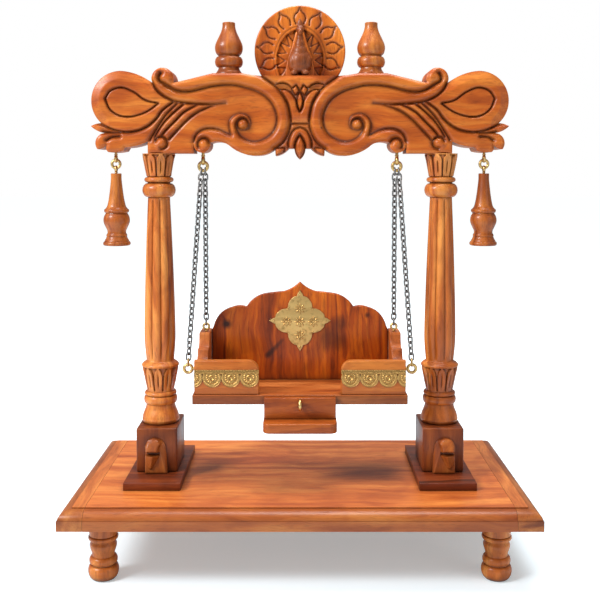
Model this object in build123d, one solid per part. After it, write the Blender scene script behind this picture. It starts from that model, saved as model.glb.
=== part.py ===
from build123d import *
import math
import os

# A carved tabletop swing: footed plank, two turned pillars, a scroll-carved crest beam and an
# open seat on four fine chains. Millimetres, +Z up, front towards -Y, origin on the ground
# under the middle of the plank.

# ---------------------------------------------------------------- driving sizes
CLEAR = 0.15            # play round tenons, tongues and shanks
LINK_GAP = 0.12         # play between two chain links
HANG_GAP = 0.45         # play between a hanging eye or ring and the wire that carries it
HOUSING = 1.0           # depth of the shallow housings that standing boards are set in
TURN_SIDES = 12         # flats round a turned piece
RING_SIDES = 8          # flats round a brass ring or eye

# base plank
BASE_W = 481.0
BASE_D = 252.0
BASE_T = 20.0
EDGE_FACE = 10.0        # straight face under the edge moulding
EDGE_INSET = 13.0       # how far the moulding runs in from the face
CLEAT_W = 26.0          # cross-grain cleat at each end
TONGUE_L = 8.0
TONGUE_T = 7.0

# feet
FOOT_H = 63.0
FOOT_INSET = 38.5       # foot axis from the plank's faces
FOOT_R = 16.4
FOOT_STUB = 11.0        # side of the square stub left on the blank
FOOT_STUB_L = 11.0

# plates and blocks
PILLAR_X = 155.5
PLATE_W = 60.0
PLATE_D = 134.0
PLATE_T = 8.0
BLOCK_W = 44.5
BLOCK_D = 62.0
BLOCK_H = 48.0
BLOCK_BEVEL = 1.6
BLOCK_TENON = 22.0      # side of the tenon through the plate into the plank
BLOCK_TENON_L = 20.0
BRACKET_W = 23.0
BRACKET_H = 38.0
BRACKET_T = 6.5

# pillars
PILLAR_H = 298.0        # block top to beam underside
SHAFT_TOP_R = 12.0
SHAFT_MAX_R = 17.2
REEDS = 9
TENON = 12.0            # side of the square tenon at both ends
TENON_L = 17.0

# crest beam
BEAM_T = 40.0           # front of the carving to the back
RELIEF = 6.0            # height of the carved bands over the field
BEAM_H = 83.4           # pillar top to the flat top of the beam
CREST = 0.42            # flat crest of a carved band, as a share of its width
BAND_SINK = 1.0         # the bands are rooted this deep in the field

# disc, peacock and finials
DISC_R = 50.2
DISC_T = 8.6
DISC_RISE = 29.4        # disc centre over the beam's flat top
DISC_Y = 12.5           # disc mid plane behind the pillar plane
DISC_FIELD = 0.8        # depth of the sunk oval field
PEACOCK_Y = -5.0
PEACOCK_H = 63.0
PEG = 4.5               # side of the square pegs under peacock and finials
PEG_L = 8.0
FINIAL_X = 77.8
FINIAL_H = 56.6
FINIAL_R = 15.2

# hanging brass: screw eyes and rings, wire diameter and radius of the wire's centre line
SWING_X = 106.6
HOOK_WIRE = 2.6
HOOK_R = 3.9
HOOK_NECK = 3.2
SHANK_L = 10.0
RING_WIRE = 2.4
RING_R = 5.3
PENDANT_X = 202.6
PENDANT_HOOK_WIRE = 2.2
PENDANT_HOOK_R = 3.4
PENDANT_RING_WIRE = 2.1
PENDANT_RING_R = 5.0
PENDANT_EYE_WIRE = 2.0
PENDANT_EYE_R = 2.9
PENDANT_EYE_NECK = 1.0
PENDANT_H = 79.5
PENDANT_R = 15.0

# seat
SEAT_BOTTOM = 169.0     # underside of the seat board over the ground
SEAT_W = 230.0
SEAT_FRONT = -46.0
SEAT_BACK = 37.0
SEAT_T = 10.3
SEAT_LIP = 2.0          # seat board beyond the panels
SIDE_T = 12.0
SIDE_FRONT_H = 32.0
SIDE_STEP_H = 42.5
SIDE_POST_H = 57.7
FRONT_PANEL_W = 69.0
FRONT_PANEL_H = 36.4
FRONT_PANEL_T = 9.0
FRONT_PANEL_R = 11.0
BACK_T = 9.0
BACK_H = 112.3
RISER_W = 76.0
RISER_H = 22.5
RISER_T = 8.5
STEP_W = 77.4
STEP_D = 28.0
STEP_T = 10.4
STEP_R = 8.0
JOINT_GAP = 0.3         # glue line between a backrest and its side panels

# brass on the seat
LACE_T = 0.9
LACE_H = 18.7
LACE_BAND = 4.6
LACE_DROP = 9.6         # lace's top edge under the panel's top edge
MEDAL_R = 10.0
MEDAL_PITCH = 20.0
MEDAL_SIDES = 16        # flats turned side to side, so that neighbours don't meet at a corner
PLATE_TIP = 35.3        # centre to tip of the four-lobed plate
PLATE_THICK = 1.0
PLATE_RISE = 68.0       # plate centre over the seat board
EYE_WIRE = 2.3
EYE_R = 4.95
FRONT_EYE_Y = -31.0
FRONT_EYE_DROP = 11.0   # front eye under the front panel's top edge
REAR_EYE_WIRE = 1.8
REAR_EYE_R = 3.65
REAR_EYE_Y = 17.0
PULL_WIRE = 2.2
PULL_R = 5.2

# chains
CHAIN_WIRE = 1.3
CHAIN_W = 5.9
CHAIN_PITCH = 6.1       # wanted pitch; each chain divides its own length evenly
CHAIN_TWIST = 45.0      # the links lie this far round from the eyes' planes
TWIST_LINKS = 3
LINK_CLIP = 0.0         # corner cut of a link, as a share of its width
HOOK_SPREAD = 2.2       # front and rear chain apart on their ring, from its middle
HOOK_PLAY = 1.45        # first link over the ring's lowest wire
EYE_PLAY = 0.3          # last link under the eye's top wire

# ---------------------------------------------------------------- levels that follow
PLANK_TOP = FOOT_H + BASE_T
PLATE_TOP = PLANK_TOP + PLATE_T
BLOCK_TOP = PLATE_TOP + BLOCK_H
BEAM_BOTTOM = BLOCK_TOP + PILLAR_H
BEAM_TOP = BEAM_BOTTOM + BEAM_H
BEAM_FRONT = -BEAM_T / 2
FIELD_Y = BEAM_FRONT + RELIEF
SEAT_TOP = SEAT_BOTTOM + SEAT_T
PANEL_FRONT = SEAT_FRONT + SEAT_LIP
PANEL_X = SEAT_W / 2 - SEAT_LIP
BACK_Y = SEAT_BACK - BACK_T - JOINT_GAP
DISC_Z = BEAM_TOP + DISC_RISE
SIDES = {"left": -1, "right": 1}


# ---------------------------------------------------------------- helpers
def block(x0, x1, y0, y1, z0, z1):
    """A box between two corners."""
    return Pos((x0 + x1) / 2, (y0 + y1) / 2, (z0 + z1) / 2) * Box(x1 - x0, y1 - y0, z1 - z0)


def stub(side, z0, z1, x=0.0, y=0.0, play=0.0):
    """An upright square stub or, with play, its mortise."""
    half = side / 2 + play
    return block(x - half, x + half, y - half, y + half, z0, z1)


def run_edges(start, moves, y=0.0):
    """Edges in the XZ plane. A move of two numbers is a line, of four an arc through a point."""
    edges = []
    here = (start[0], y, start[1])
    for move in moves:
        there = (move[-2], y, move[-1])
        if len(move) == 2:
            edges.append(Line(here, there))
        else:
            edges.append(ThreePointArc(here, (move[0], y, move[1]), there))
        here = there
    return edges


def turned(z, levels):
    """A lathe-turned solid on Z: tapers between (radius, height) levels, in even flats."""
    rings = [Pos(0, 0, z + height) * RegularPolygon(radius, TURN_SIDES) for radius, height in levels]
    return loft(rings, ruled=True)


def reeded(radius, valley, z):
    """The section of a reeded piece: flat-crowned reeds that meet in valleys."""
    points = []
    step = 360 / REEDS
    for i in range(REEDS):
        for share, r in ((0, valley), (0.3, radius), (0.7, radius)):
            a = math.radians((i + share) * step)
            points.append((r * math.cos(a), r * math.sin(a), z))
    return make_face(Polyline(*points, close=True))


def wire_ring(radius, wire):
    """A ring of square-drawn wire in the XZ plane, centred on the origin."""
    turn = 180 / RING_SIDES
    outer = RegularPolygon(radius + wire / 2, RING_SIDES, major_radius=False, rotation=turn)
    inner = RegularPolygon(radius - wire / 2, RING_SIDES, major_radius=False, rotation=turn)
    return extrude(Plane.XZ * (outer - inner), wire / 2, both=True)


def shank(wire, z0, z1, play=0.0):
    """A six-sided shank on Z or, with play, its bore."""
    return extrude(Pos(0, 0, z0) * RegularPolygon(wire / 2 + play, 6), z1 - z0)


def screw_eye(radius, wire, neck, length):
    """A screw eye in the YZ plane: loop centred on the origin, shank up along Z."""
    stem = shank(wire, radius - wire * 0.2, radius + wire / 2 + neck + length)
    return wire_ring(radius, wire).rotate(Axis.Z, 90) + stem


# ---------------------------------------------------------------- base
def moulded_plank():
    """The plank: straight face, then a rounded moulding up to the flat top."""
    rise = BASE_T - EDGE_FACE
    step = 1.0
    sizes = [(0.0, 0.0)]
    for share in (0.0, 0.35, 0.7, 1.0):
        run = (EDGE_INSET - step) * (1 - math.cos(share * math.pi / 2))
        sizes.append((run, EDGE_FACE + (rise - step) * math.sin(share * math.pi / 2)))
    rings = []
    for run, height in sizes:
        rings.append(Pos(0, 0, FOOT_H + height) * Rectangle(BASE_W - 2 * run, BASE_D - 2 * run))
    w, d = BASE_W / 2 - EDGE_INSET, BASE_D / 2 - EDGE_INSET
    return loft(rings, ruled=True) + block(-w, w, -d, d, PLANK_TOP - step - 1, PLANK_TOP)


def base_parts():
    """The plank's main board with a tongue at each end, and the two end cleats."""
    plank = moulded_plank()
    seam = BASE_W / 2 - CLEAT_W
    mid = FOOT_H + EDGE_FACE - 1.0
    foot_x, foot_y = BASE_W / 2 - FOOT_INSET, BASE_D / 2 - FOOT_INSET
    tongue_d = BASE_D / 2 - CLEAT_W
    for sx in (-1, 1):
        for sy in (-1, 1):
            plank -= stub(FOOT_STUB, 0, FOOT_H + FOOT_STUB_L + 1, sx * foot_x, sy * foot_y, CLEAR)
        plank -= stub(BLOCK_TENON, PLATE_TOP - BLOCK_TENON_L - 1, PLANK_TOP + 1, sx * PILLAR_X, 0, CLEAR)
        plank -= Pos(sx * PILLAR_X, 0, PLANK_TOP) * Box(PLATE_W + 2 * CLEAR, PLATE_D + 2 * CLEAR, 2 * HOUSING)
    parts = {}
    board = plank & block(-seam, seam, -BASE_D, BASE_D, 0, PLANK_TOP + 1)
    t = TONGUE_T / 2
    for name, s in SIDES.items():
        inner, outer = sorted((s * seam, s * BASE_W))
        cleat = plank & block(inner, outer, -BASE_D, BASE_D, 0, PLANK_TOP + 1)
        x0, x1 = sorted((s * (seam - 1), s * (seam + TONGUE_L)))
        g0, g1 = sorted((s * (seam - 1), s * (seam + TONGUE_L + CLEAR)))
        cleat -= block(g0, g1, -tongue_d - CLEAR, tongue_d + CLEAR, mid - t - CLEAR, mid + t + CLEAR)
        board += block(x0, x1, -tongue_d, tongue_d, mid - t, mid + t)
        parts["base_cleat_" + name] = cleat
    parts["base_board"] = board
    return parts


def foot_parts():
    """A turned foot: ball, ring, waisted bulb and top ring, with a square stub into the plank."""
    r, h = FOOT_R, FOOT_H
    foot = turned(0, [
        (r * 0.62, 0), (r * 0.9, h * 0.04), (r * 0.97, h * 0.11), (r * 0.8, h * 0.2), (r * 0.93, h * 0.24),
        (r * 0.93, h * 0.36), (r * 0.78, h * 0.39), (r * 0.9, h * 0.5), (r * 0.8, h * 0.6),
        (r, h * 0.63), (r, h * 0.72), (r * 0.86, h * 0.75), (r * 0.86, h),
    ])
    foot += stub(FOOT_STUB, h - 1, h + FOOT_STUB_L)
    x, y = BASE_W / 2 - FOOT_INSET, BASE_D / 2 - FOOT_INSET
    parts = {}
    for name, s in SIDES.items():
        parts["foot_front_" + name] = Pos(s * x, -y, 0) * foot
        parts["foot_rear_" + name] = Pos(s * x, y, 0) * foot
    return parts


# ---------------------------------------------------------------- pillars
def plinth_parts():
    """Plate, tenoned block and bird-head bracket under each pillar."""
    parts = {}
    body = Pos(0, 0, PLATE_TOP + BLOCK_H / 2) * Box(BLOCK_W, BLOCK_D, BLOCK_H)
    body = chamfer(body.edges().filter_by(Axis.Z) + body.edges().group_by(Axis.Z)[-1], BLOCK_BEVEL)
    body += stub(BLOCK_TENON, PLATE_TOP - BLOCK_TENON_L, PLATE_TOP + 1)
    body -= stub(TENON, BLOCK_TOP - TENON_L - 1, BLOCK_TOP + 1, play=CLEAR)
    for name, s in SIDES.items():
        x = s * PILLAR_X
        w, d = PLATE_W / 2, PLATE_D / 2
        plate = block(x - w, x + w, -d, d, PLANK_TOP - HOUSING, PLATE_TOP)
        parts["plinth_plate_" + name] = plate - stub(BLOCK_TENON, FOOT_H, PLATE_TOP + 1, x, 0, CLEAR)
        parts["pillar_block_" + name] = Pos(x, 0, 0) * body
        parts["bird_bracket_" + name] = Pos(x, -BLOCK_D / 2, PLATE_TOP) * bird_bracket()
    return parts


def bird_bracket():
    """A small slab with a clipped top and a bird's head: round brow over a pointed beak."""
    w, h, t = BRACKET_W / 2, BRACKET_H, BRACKET_T
    clip = w * 0.42
    outline = [(-w, 0), (w, 0), (w, h - clip * 1.7), (w - clip, h), (clip - w, h), (-w, h - clip * 1.7)]
    slab = extrude(Plane.XZ * make_face(Polyline(*outline, close=True)), t)
    brow_z, brow_r = h * 0.76, w * 0.56
    brow = Plane.XZ.offset(t - 1) * Pos(-w * 0.06, brow_z) * RegularPolygon(brow_r, 8)
    head = extrude(brow, w * 0.62, taper=24)
    beak_top = h * 0.62
    half = w * 0.42
    root = [(-half, beak_top), (half, beak_top), (0, h * 0.16)]
    nose = [(-half * 0.2, beak_top - 1), (half * 0.2, beak_top - 1), (0, beak_top - 3)]
    faces = []
    for depth, corners in ((t - 1, root), (t + w * 0.5, nose)):
        faces.append(Plane.XZ.offset(depth) * make_face(Polyline(*corners, close=True)))
    return slab + head + loft(faces, ruled=True)


def pillar():
    """A turned pillar with a reeded, tapering shaft between a leaf cup and a leaf capital."""
    k, r, z = PILLAR_H, SHAFT_MAX_R, BLOCK_TOP
    solid = turned(z, [
        (r * 1.06, 0), (r * 1.2, k * 0.012), (r * 1.18, k * 0.024), (r * 0.93, k * 0.07), (r * 1.07, k * 0.076),
        (r * 1.07, k * 0.096), (r * 0.97, k * 0.104), (r * 1.03, k * 0.108), (r * 0.9, k * 0.119),
    ])
    cup, collar = k * 0.118, k * 0.212
    solid += loft([reeded(r * 0.9, r * 0.8, z + cup), reeded(r * 1.17, r * 1.04, z + collar)], ruled=True)
    solid += turned(z + collar - 0.3, [(r * 1.16, 0), (r * 1.16, k * 0.01), (r * 0.92, k * 0.026)])
    shaft = [(0.9, k * 0.23), (1.0, k * 0.3), (0.94, k * 0.52), (SHAFT_TOP_R / r, k * 0.838)]
    valley = 0.88
    solid += loft([reeded(r * share, r * share * valley, z + level) for share, level in shaft], ruled=True)
    solid += turned(z + k * 0.836, [
        (r * 0.96, 0), (r * 1.08, k * 0.014), (r * 1.08, k * 0.04), (r * 0.9, k * 0.055), (r * 0.96, k * 0.06),
        (r * 0.96, k * 0.07), (r * 0.8, k * 0.08),
    ])
    cap = k * 0.914
    solid += loft([reeded(r * 0.84, r * 0.76, z + cap), reeded(r * 1.03, r * 0.92, z + k)], ruled=True)
    return solid + stub(TENON, z - TENON_L, z + 1) + stub(TENON, z + k - 1, z + k + TENON_L)


def pillar_parts():
    """The same pillar twice."""
    shaft = pillar()
    return {"pillar_" + name: Pos(s * PILLAR_X, 0, 0) * shaft for name, s in SIDES.items()}


# ---------------------------------------------------------------- crest beam
def silhouette():
    """Right half of the beam's outline, heights over the beam's underside."""
    flat = BEAM_H + 2.6
    return run_edges((0, -6.4), [
        (0, BEAM_H), (44, BEAM_H), (53, 84.2, 62, flat), (94, flat), (116, 80.6, 137, 75.6),
        (148, 92, 159.4, 75.6), (175, 84.6, 193.1, 88.7), (225.6, 56.2, 215.7, 32.8), (226.2, 29.2),
        (219.5, 24.2, 211.5, 22.6), (219.2, 16.0, 219.7, 4.9), (214.5, 4.9), (208.8, 13.5),
        (207.6, 2.0), (191.2, 2.0), (191.2, 6.2), (178.9, 7.6, 164.9, 12.6), (164.9, 0), (115.2, 0),
        (115.2, 9.0), (SWING_X, 0.6, SWING_X - 9.2, 11.2), (86, 12.4, 75, 7.0), (60, -0.8, 45, -2.3),
        (34, 0.2, 26.9, 4.8), (26.4, -2.7), (19.5, -0.5, 12.2, 5.4), (6.0, 5.4), (5.0, 0.0, 0, -6.4),
    ])


def ribbon(stations):
    """A carved band that stands on the field: (x, height, half width) along its middle line."""
    wires = []
    last = len(stations) - 1
    for depth, share in ((FIELD_Y + BAND_SINK, 1.0), (BEAM_FRONT, CREST)):
        left, right = [], []
        for i, (x, z, half) in enumerate(stations):
            x0, z0, _ = stations[max(i - 1, 0)]
            x1, z1, _ = stations[min(i + 1, last)]
            run = math.hypot(x1 - x0, z1 - z0)
            nx, nz = -(z1 - z0) / run * half * share, (x1 - x0) / run * half * share
            left.append((x + nx, depth, z + nz))
            right.append((x - nx, depth, z - nz))
        wires.append(Polyline(*left, *reversed(right), close=True))
    return Solid.make_loft(wires, ruled=True)


def boss(x, z, radius):
    """A round scroll eye on the field."""
    disc = Plane.XZ.offset(-FIELD_Y - BAND_SINK) * Pos(x, z) * RegularPolygon(radius, TURN_SIDES)
    return extrude(disc, RELIEF + BAND_SINK)


# Middle lines and half widths of the carved bands on the right half.
BANDS = {
    "main_scroll": [
        (141, 74.0, 0.5), (131, 71.9, 3.6), (116, 73.6, 5.8), (96, 78.3, 5.9), (78, 79.9, 5.8),
        (60, 78.2, 6.2), (45, 74.8, 6.3), (33, 67.0, 6.0), (24, 57.6, 6.2), (19, 46.2, 6.5),
        (17.6, 35.0, 6.6), (19.6, 24.8, 6.6), (25.6, 15.7, 6.6), (35.2, 9.0, 6.4), (47.8, 5.3, 6.1),
        (60, 7.2, 5.4), (70, 12.2, 4.8), (79, 16.6, 4.6), (88.5, 19.2, 5.2), (98, 20.2, 5.2),
        (107.4, 18.2, 3.6), (112.4, 12.6, 1.6), (113.4, 8.5, 0.6),
    ],
    "stem": [
        (150.5, 89.4, 0.9), (155.6, 85.0, 2.3), (156.6, 78.2, 2.5), (154.0, 71.2, 3.0), (147.6, 65.4, 3.9),
        (138, 61.6, 4.7), (126, 60.0, 5.2), (110, 59.6, 5.6), (96, 58.8, 4.6), (79, 54.8, 0.5),
    ],
    "loop": [
        (140, 56.4, 0.5), (151, 59.6, 3.4), (162, 66.6, 6.4), (172.4, 72.3, 7.9), (183, 77.2, 8.2),
        (194, 79.0, 8.0), (206, 75.0, 7.7), (214.6, 66.6, 7.4), (217.3, 56.2, 7.2), (214.8, 45.0, 7.2),
        (207.4, 36.6, 7.2), (197.2, 32.2, 7.0), (185.4, 31.2, 7.0), (173.6, 33.6, 7.2),
        (163.0, 38.6, 6.8), (154.6, 45.0, 5.0), (148.0, 50.8, 2.8), (141, 54.6, 0.5),
    ],
    "leaf": [
        (133, 54.0, 0.5), (142.4, 47.6, 2.2), (150.6, 36.4, 2.9), (159.2, 26.2, 3.7),
        (171, 18.4, 5.2), (184.6, 15.0, 6.2), (197.0, 13.0, 6.6), (203.6, 7.6, 3.6), (206, 3.2, 1.2),
    ],
    "flute_outer": [
        (127, 53.6, 0.4), (139.5, 43.5, 1.9), (147.8, 34, 2.0), (155.6, 23.6, 2.0), (161, 13.4, 0.8),
    ],
    "flute_middle": [
        (117, 52.6, 0.4), (130.2, 44.4, 2.6), (139.8, 35.2, 2.9), (148, 26, 2.5), (153, 19.4, 1.4),
    ],
    "flute_inner": [
        (100, 51.8, 0.4), (116.8, 45, 2.9), (127.5, 36.3, 3.3), (138, 25.8, 3.2), (144, 19, 1.2),
    ],
    "arm": [
        (75.6, 22.4, 0.4), (74.2, 29, 2.0), (72.2, 35.6, 2.3), (66.6, 40.6, 2.2), (60, 41, 1.8), (55, 37, 1.0),
    ],
    "petal": [(20, 67.2, 0.4), (14.6, 65.9, 1.7), (9.6, 61.6, 2.9), (7.3, 55, 2.9), (5.4, 46, 2.6), (4.6, 35, 3.0)],
    "side_leaf": [(13.2, 15.6, 0.5), (18, 8, 2.6), (22.6, 2, 2.2), (25.2, -1.2, 0.6)],
}
BOSSES = {"volute_eye": (145.4, 81.4, 6.0), "pillar_eye": (150.2, 11.2, 6.2), "scroll_eye": (60.8, 31.2, 5.2)}
TEARDROP = (193.1, 56.2, 14.6, 153.5)   # centre, radius and the tip's distance from the middle
LENS = [(0, 45.6, 0.4), (0, 56, 3.0), (0, 66.4, 0.4)]
DROP_LEAF = [(0, 20.4, 0.4), (0, 15, 3.4), (0, 8.4, 5.2), (0, 1, 3.8), (0, -5.2, 0.5)]
ARCH = [(-10, 7, 1.3), (-9, 18, 1.6), (-5.4, 26.2, 1.6), (0, 29.6, 1.6), (5.4, 26.2, 1.6), (9, 18, 1.6),
        (10, 7, 1.3)]


def teardrop():
    """The low leaf-shaped field inside each end loop."""
    x, z, r, tip = TEARDROP
    points = [(tip, z)]
    lean = math.degrees(math.acos(r / (x - tip)))
    for i in range(9):
        a = math.radians(180 - lean - i * (360 - 2 * lean) / 8)
        points.append((x + r * math.cos(a), z + r * math.sin(a)))
    face = Plane.XZ.offset(-FIELD_Y - BAND_SINK) * make_face(Polyline(*points, close=True))
    return extrude(face, RELIEF * 0.6 + BAND_SINK)


def crest_parts():
    """The beam: an outline board with raised bands, eyes and leaves, bored for what it carries."""
    half = Pos(0, FIELD_Y, 0) * extrude(Face(Wire(silhouette())), BEAM_T - RELIEF, dir=(0, 1, 0))
    half += [ribbon(stations) for stations in BANDS.values()]
    half += [boss(*eye) for eye in BOSSES.values()]
    half += boss(SWING_X, 9.4, 6.2)
    half += teardrop()
    beam = half + mirror(half, about=Plane.YZ)
    beam += [ribbon(LENS), ribbon(DROP_LEAF), ribbon(ARCH)]
    beam = Pos(0, 0, BEAM_BOTTOM) * beam
    slot = Cylinder(DISC_R + CLEAR, DISC_T + 2 * CLEAR).rotate(Axis.X, 90)
    beam -= Pos(0, DISC_Y, DISC_Z) * slot
    beam -= stub(PEG, BEAM_TOP - PEG_L - 1, BEAM_TOP + 5, 0, PEACOCK_Y, CLEAR)
    for s in (-1, 1):
        beam -= stub(TENON, BEAM_BOTTOM - 1, BEAM_BOTTOM + TENON_L + 1, s * PILLAR_X, 0, CLEAR)
        beam -= stub(PEG, BEAM_TOP - PEG_L, BEAM_TOP + 5, s * FINIAL_X, 0, CLEAR)
        for x, wire in ((SWING_X, HOOK_WIRE), (PENDANT_X, PENDANT_HOOK_WIRE)):
            beam -= Pos(s * x, 0, BEAM_BOTTOM) * shank(wire, -9, SHANK_L + 3, CLEAR)
    return {"crest_beam": beam}


def finial_parts():
    """Flat-topped vase finials: foot, ring, bulb and a drawn-in neck."""
    h, r = FINIAL_H, FINIAL_R
    z = BEAM_TOP + 2.6
    finial = turned(z, [
        (r * 0.94, 0), (r * 0.76, h * 0.13), (r * 0.98, h * 0.17), (r, h * 0.25), (r * 0.78, h * 0.36),
        (r * 0.97, h * 0.47), (r * 0.93, h * 0.57), (r * 0.62, h * 0.76), (r * 0.42, h * 0.93), (r * 0.46, h),
    ])
    finial += stub(PEG, z - PEG_L, z + 1)
    return {"finial_" + name: Pos(s * FINIAL_X, 0, 0) * finial for name, s in SIDES.items()}


def disc_parts():
    """The sunburst disc with its sunk oval field, and the peacock pegged in front of it."""
    disc = Cylinder(DISC_R, DISC_T).rotate(Axis.X, 90)
    turns = [math.radians(i * 18) for i in range(20)]
    oval = [(DISC_R * 0.54 * math.sin(a), DISC_R * (0.7 * math.cos(a) - 0.2)) for a in turns]
    field = Plane.XZ.offset(DISC_T / 2 - DISC_FIELD) * make_face(Polyline(*oval, close=True))
    disc -= extrude(field, DISC_FIELD + 1)
    h = PEACOCK_H
    bird = turned(BEAM_TOP, [
        (8.5, 0), (9.5, h * 0.08), (12.6, h * 0.24), (12.2, h * 0.34), (8.2, h * 0.52), (3.3, h * 0.68),
        (3.9, h * 0.77), (1.8, h * 0.86), (0.4, h),
    ])
    bill = Plane.XZ.offset(2) * RegularPolygon(1.5, 4)
    bird += Pos(0, 0, BEAM_TOP + h * 0.77) * extrude(bill, 4.4, taper=12)
    bird += stub(PEG, BEAM_TOP - PEG_L, BEAM_TOP + 1)
    return {"crest_disc": Pos(0, DISC_Y, DISC_Z) * disc, "peacock": Pos(0, PEACOCK_Y, 0) * bird}


# ---------------------------------------------------------------- hanging brass and pendants
def hang(z, hook_r, hook_wire, ring_r, ring_wire):
    """Heights of a screw eye's centre, its ring's upper wire and its ring's centre."""
    eye = z - HOOK_NECK - hook_wire / 2 - hook_r
    upper = eye - hook_r + hook_wire / 2 + ring_wire / 2 + HANG_GAP
    return eye, upper, upper - ring_r


HOOK_Z, SWING_PIVOT_Z, RING_Z = hang(BEAM_BOTTOM + 0.6, HOOK_R, HOOK_WIRE, RING_R, RING_WIRE)
PENDANT_HOOK_Z, _, PENDANT_RING_Z = hang(
    BEAM_BOTTOM + 2.0, PENDANT_HOOK_R, PENDANT_HOOK_WIRE, PENDANT_RING_R, PENDANT_RING_WIRE)
PENDANT_EYE_TOP = PENDANT_RING_Z - PENDANT_RING_R + PENDANT_RING_WIRE / 2 + PENDANT_EYE_WIRE / 2 + HANG_GAP
PENDANT_EYE_Z = PENDANT_EYE_TOP - PENDANT_EYE_R
PENDANT_TOP = PENDANT_EYE_Z - PENDANT_EYE_R - PENDANT_EYE_WIRE / 2 - PENDANT_EYE_NECK


def hanging_parts():
    """Screw eyes and rings under the beam, and the turned pendants outside the pillars."""
    hook = screw_eye(HOOK_R, HOOK_WIRE, HOOK_NECK, SHANK_L)
    small_hook = screw_eye(PENDANT_HOOK_R, PENDANT_HOOK_WIRE, HOOK_NECK, SHANK_L)
    ring = wire_ring(RING_R, RING_WIRE)
    small_ring = wire_ring(PENDANT_RING_R, PENDANT_RING_WIRE)
    eye = screw_eye(PENDANT_EYE_R, PENDANT_EYE_WIRE, PENDANT_EYE_NECK, SHANK_L).rotate(Axis.X, 180)
    h, r = PENDANT_H, PENDANT_R
    body = turned(PENDANT_TOP - h, [
        (r, 0), (r, h * 0.035), (r * 0.72, h * 0.14), (r * 0.68, h * 0.2), (r * 0.96, h * 0.27),
        (r * 0.97, h * 0.38), (r * 0.8, h * 0.45), (r * 0.93, h * 0.46), (r * 0.93, h * 0.5),
        (r * 0.57, h * 0.65), (r * 0.44, h * 0.8), (r * 0.4, h),
    ])
    body -= shank(PENDANT_EYE_WIRE, PENDANT_TOP - SHANK_L - 1, PENDANT_TOP + 1, CLEAR)
    parts = {}
    for name, s in SIDES.items():
        parts["swing_hook_" + name] = Pos(s * SWING_X, 0, HOOK_Z) * hook
        parts["swing_ring_" + name] = Pos(s * SWING_X, 0, RING_Z) * ring
        parts["pendant_hook_" + name] = Pos(s * PENDANT_X, 0, PENDANT_HOOK_Z) * small_hook
        parts["pendant_ring_" + name] = Pos(s * PENDANT_X, 0, PENDANT_RING_Z) * small_ring
        parts["pendant_eye_" + name] = Pos(s * PENDANT_X, 0, PENDANT_EYE_Z) * eye
        parts["pendant_" + name] = Pos(s * PENDANT_X, 0, 0) * body
    return parts


# ---------------------------------------------------------------- seat
FRONT_EYE_X = PANEL_X + EYE_R + EYE_WIRE * 1.25
FRONT_EYE_Z = SEAT_TOP + FRONT_PANEL_H - FRONT_EYE_DROP
REAR_EYE_X = PANEL_X - SIDE_T / 2 - 1.0
REAR_EYE_Z = SEAT_TOP + SIDE_POST_H + REAR_EYE_R + REAR_EYE_WIRE


def seat_housings():
    """The shallow housings in the seat board for its front panels, sides and backrest."""
    z0, z1 = SEAT_TOP - HOUSING, SEAT_TOP + 1
    meet = PANEL_FRONT + FRONT_PANEL_T
    inner = PANEL_X - SIDE_T - CLEAR
    cuts = [block(-inner - 1, inner + 1, BACK_Y - CLEAR, SEAT_BACK + 1, z0, z1)]
    for s in (-1, 1):
        x0, x1 = sorted((s * inner, s * (PANEL_X + CLEAR)))
        cuts.append(block(x0, x1, meet - 1, SEAT_BACK + 1, z0, z1))
        x0, x1 = sorted((s * (PANEL_X - FRONT_PANEL_W - CLEAR), s * (PANEL_X + CLEAR)))
        cuts.append(block(x0, x1, PANEL_FRONT - CLEAR, meet + CLEAR, z0, z1))
    return cuts


def seat_board_parts():
    """Seat board, and in front of it the riser with its pull eye and the step under it."""
    x = SEAT_W / 2
    board = block(-x, x, SEAT_FRONT, SEAT_BACK, SEAT_BOTTOM, SEAT_TOP) - seat_housings()
    riser_front = SEAT_FRONT - RISER_T
    riser_top = SEAT_TOP - 1.2
    step_top = riser_top - RISER_H
    riser = block(-RISER_W / 2, RISER_W / 2, riser_front, SEAT_FRONT, step_top, riser_top)
    riser = chamfer(riser.edges().filter_by(Axis.X).group_by(Axis.Y)[0].sort_by(Axis.Z)[-1], 1.2)
    pull_z = riser_top - RISER_H * 0.4
    bore = shank(PULL_WIRE, -1, RISER_T - 4, CLEAR).rotate(Axis.X, -90)
    riser -= Pos(0, riser_front, pull_z) * bore
    step = block(-STEP_W / 2, STEP_W / 2, SEAT_FRONT - STEP_D, SEAT_FRONT, step_top - STEP_T, step_top)
    step = fillet(step.edges().filter_by(Axis.Z).group_by(Axis.Y)[0], STEP_R)
    pull = screw_eye(PULL_R, PULL_WIRE, 0.8, RISER_T - 4.5).rotate(Axis.X, -90)
    pull_y = riser_front - 0.8 - PULL_WIRE / 2 - PULL_R
    parts = {"seat_board": board, "riser_board": riser, "step_board": step}
    parts["pull_eye"] = Pos(0, pull_y, pull_z) * pull
    return parts


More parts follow.
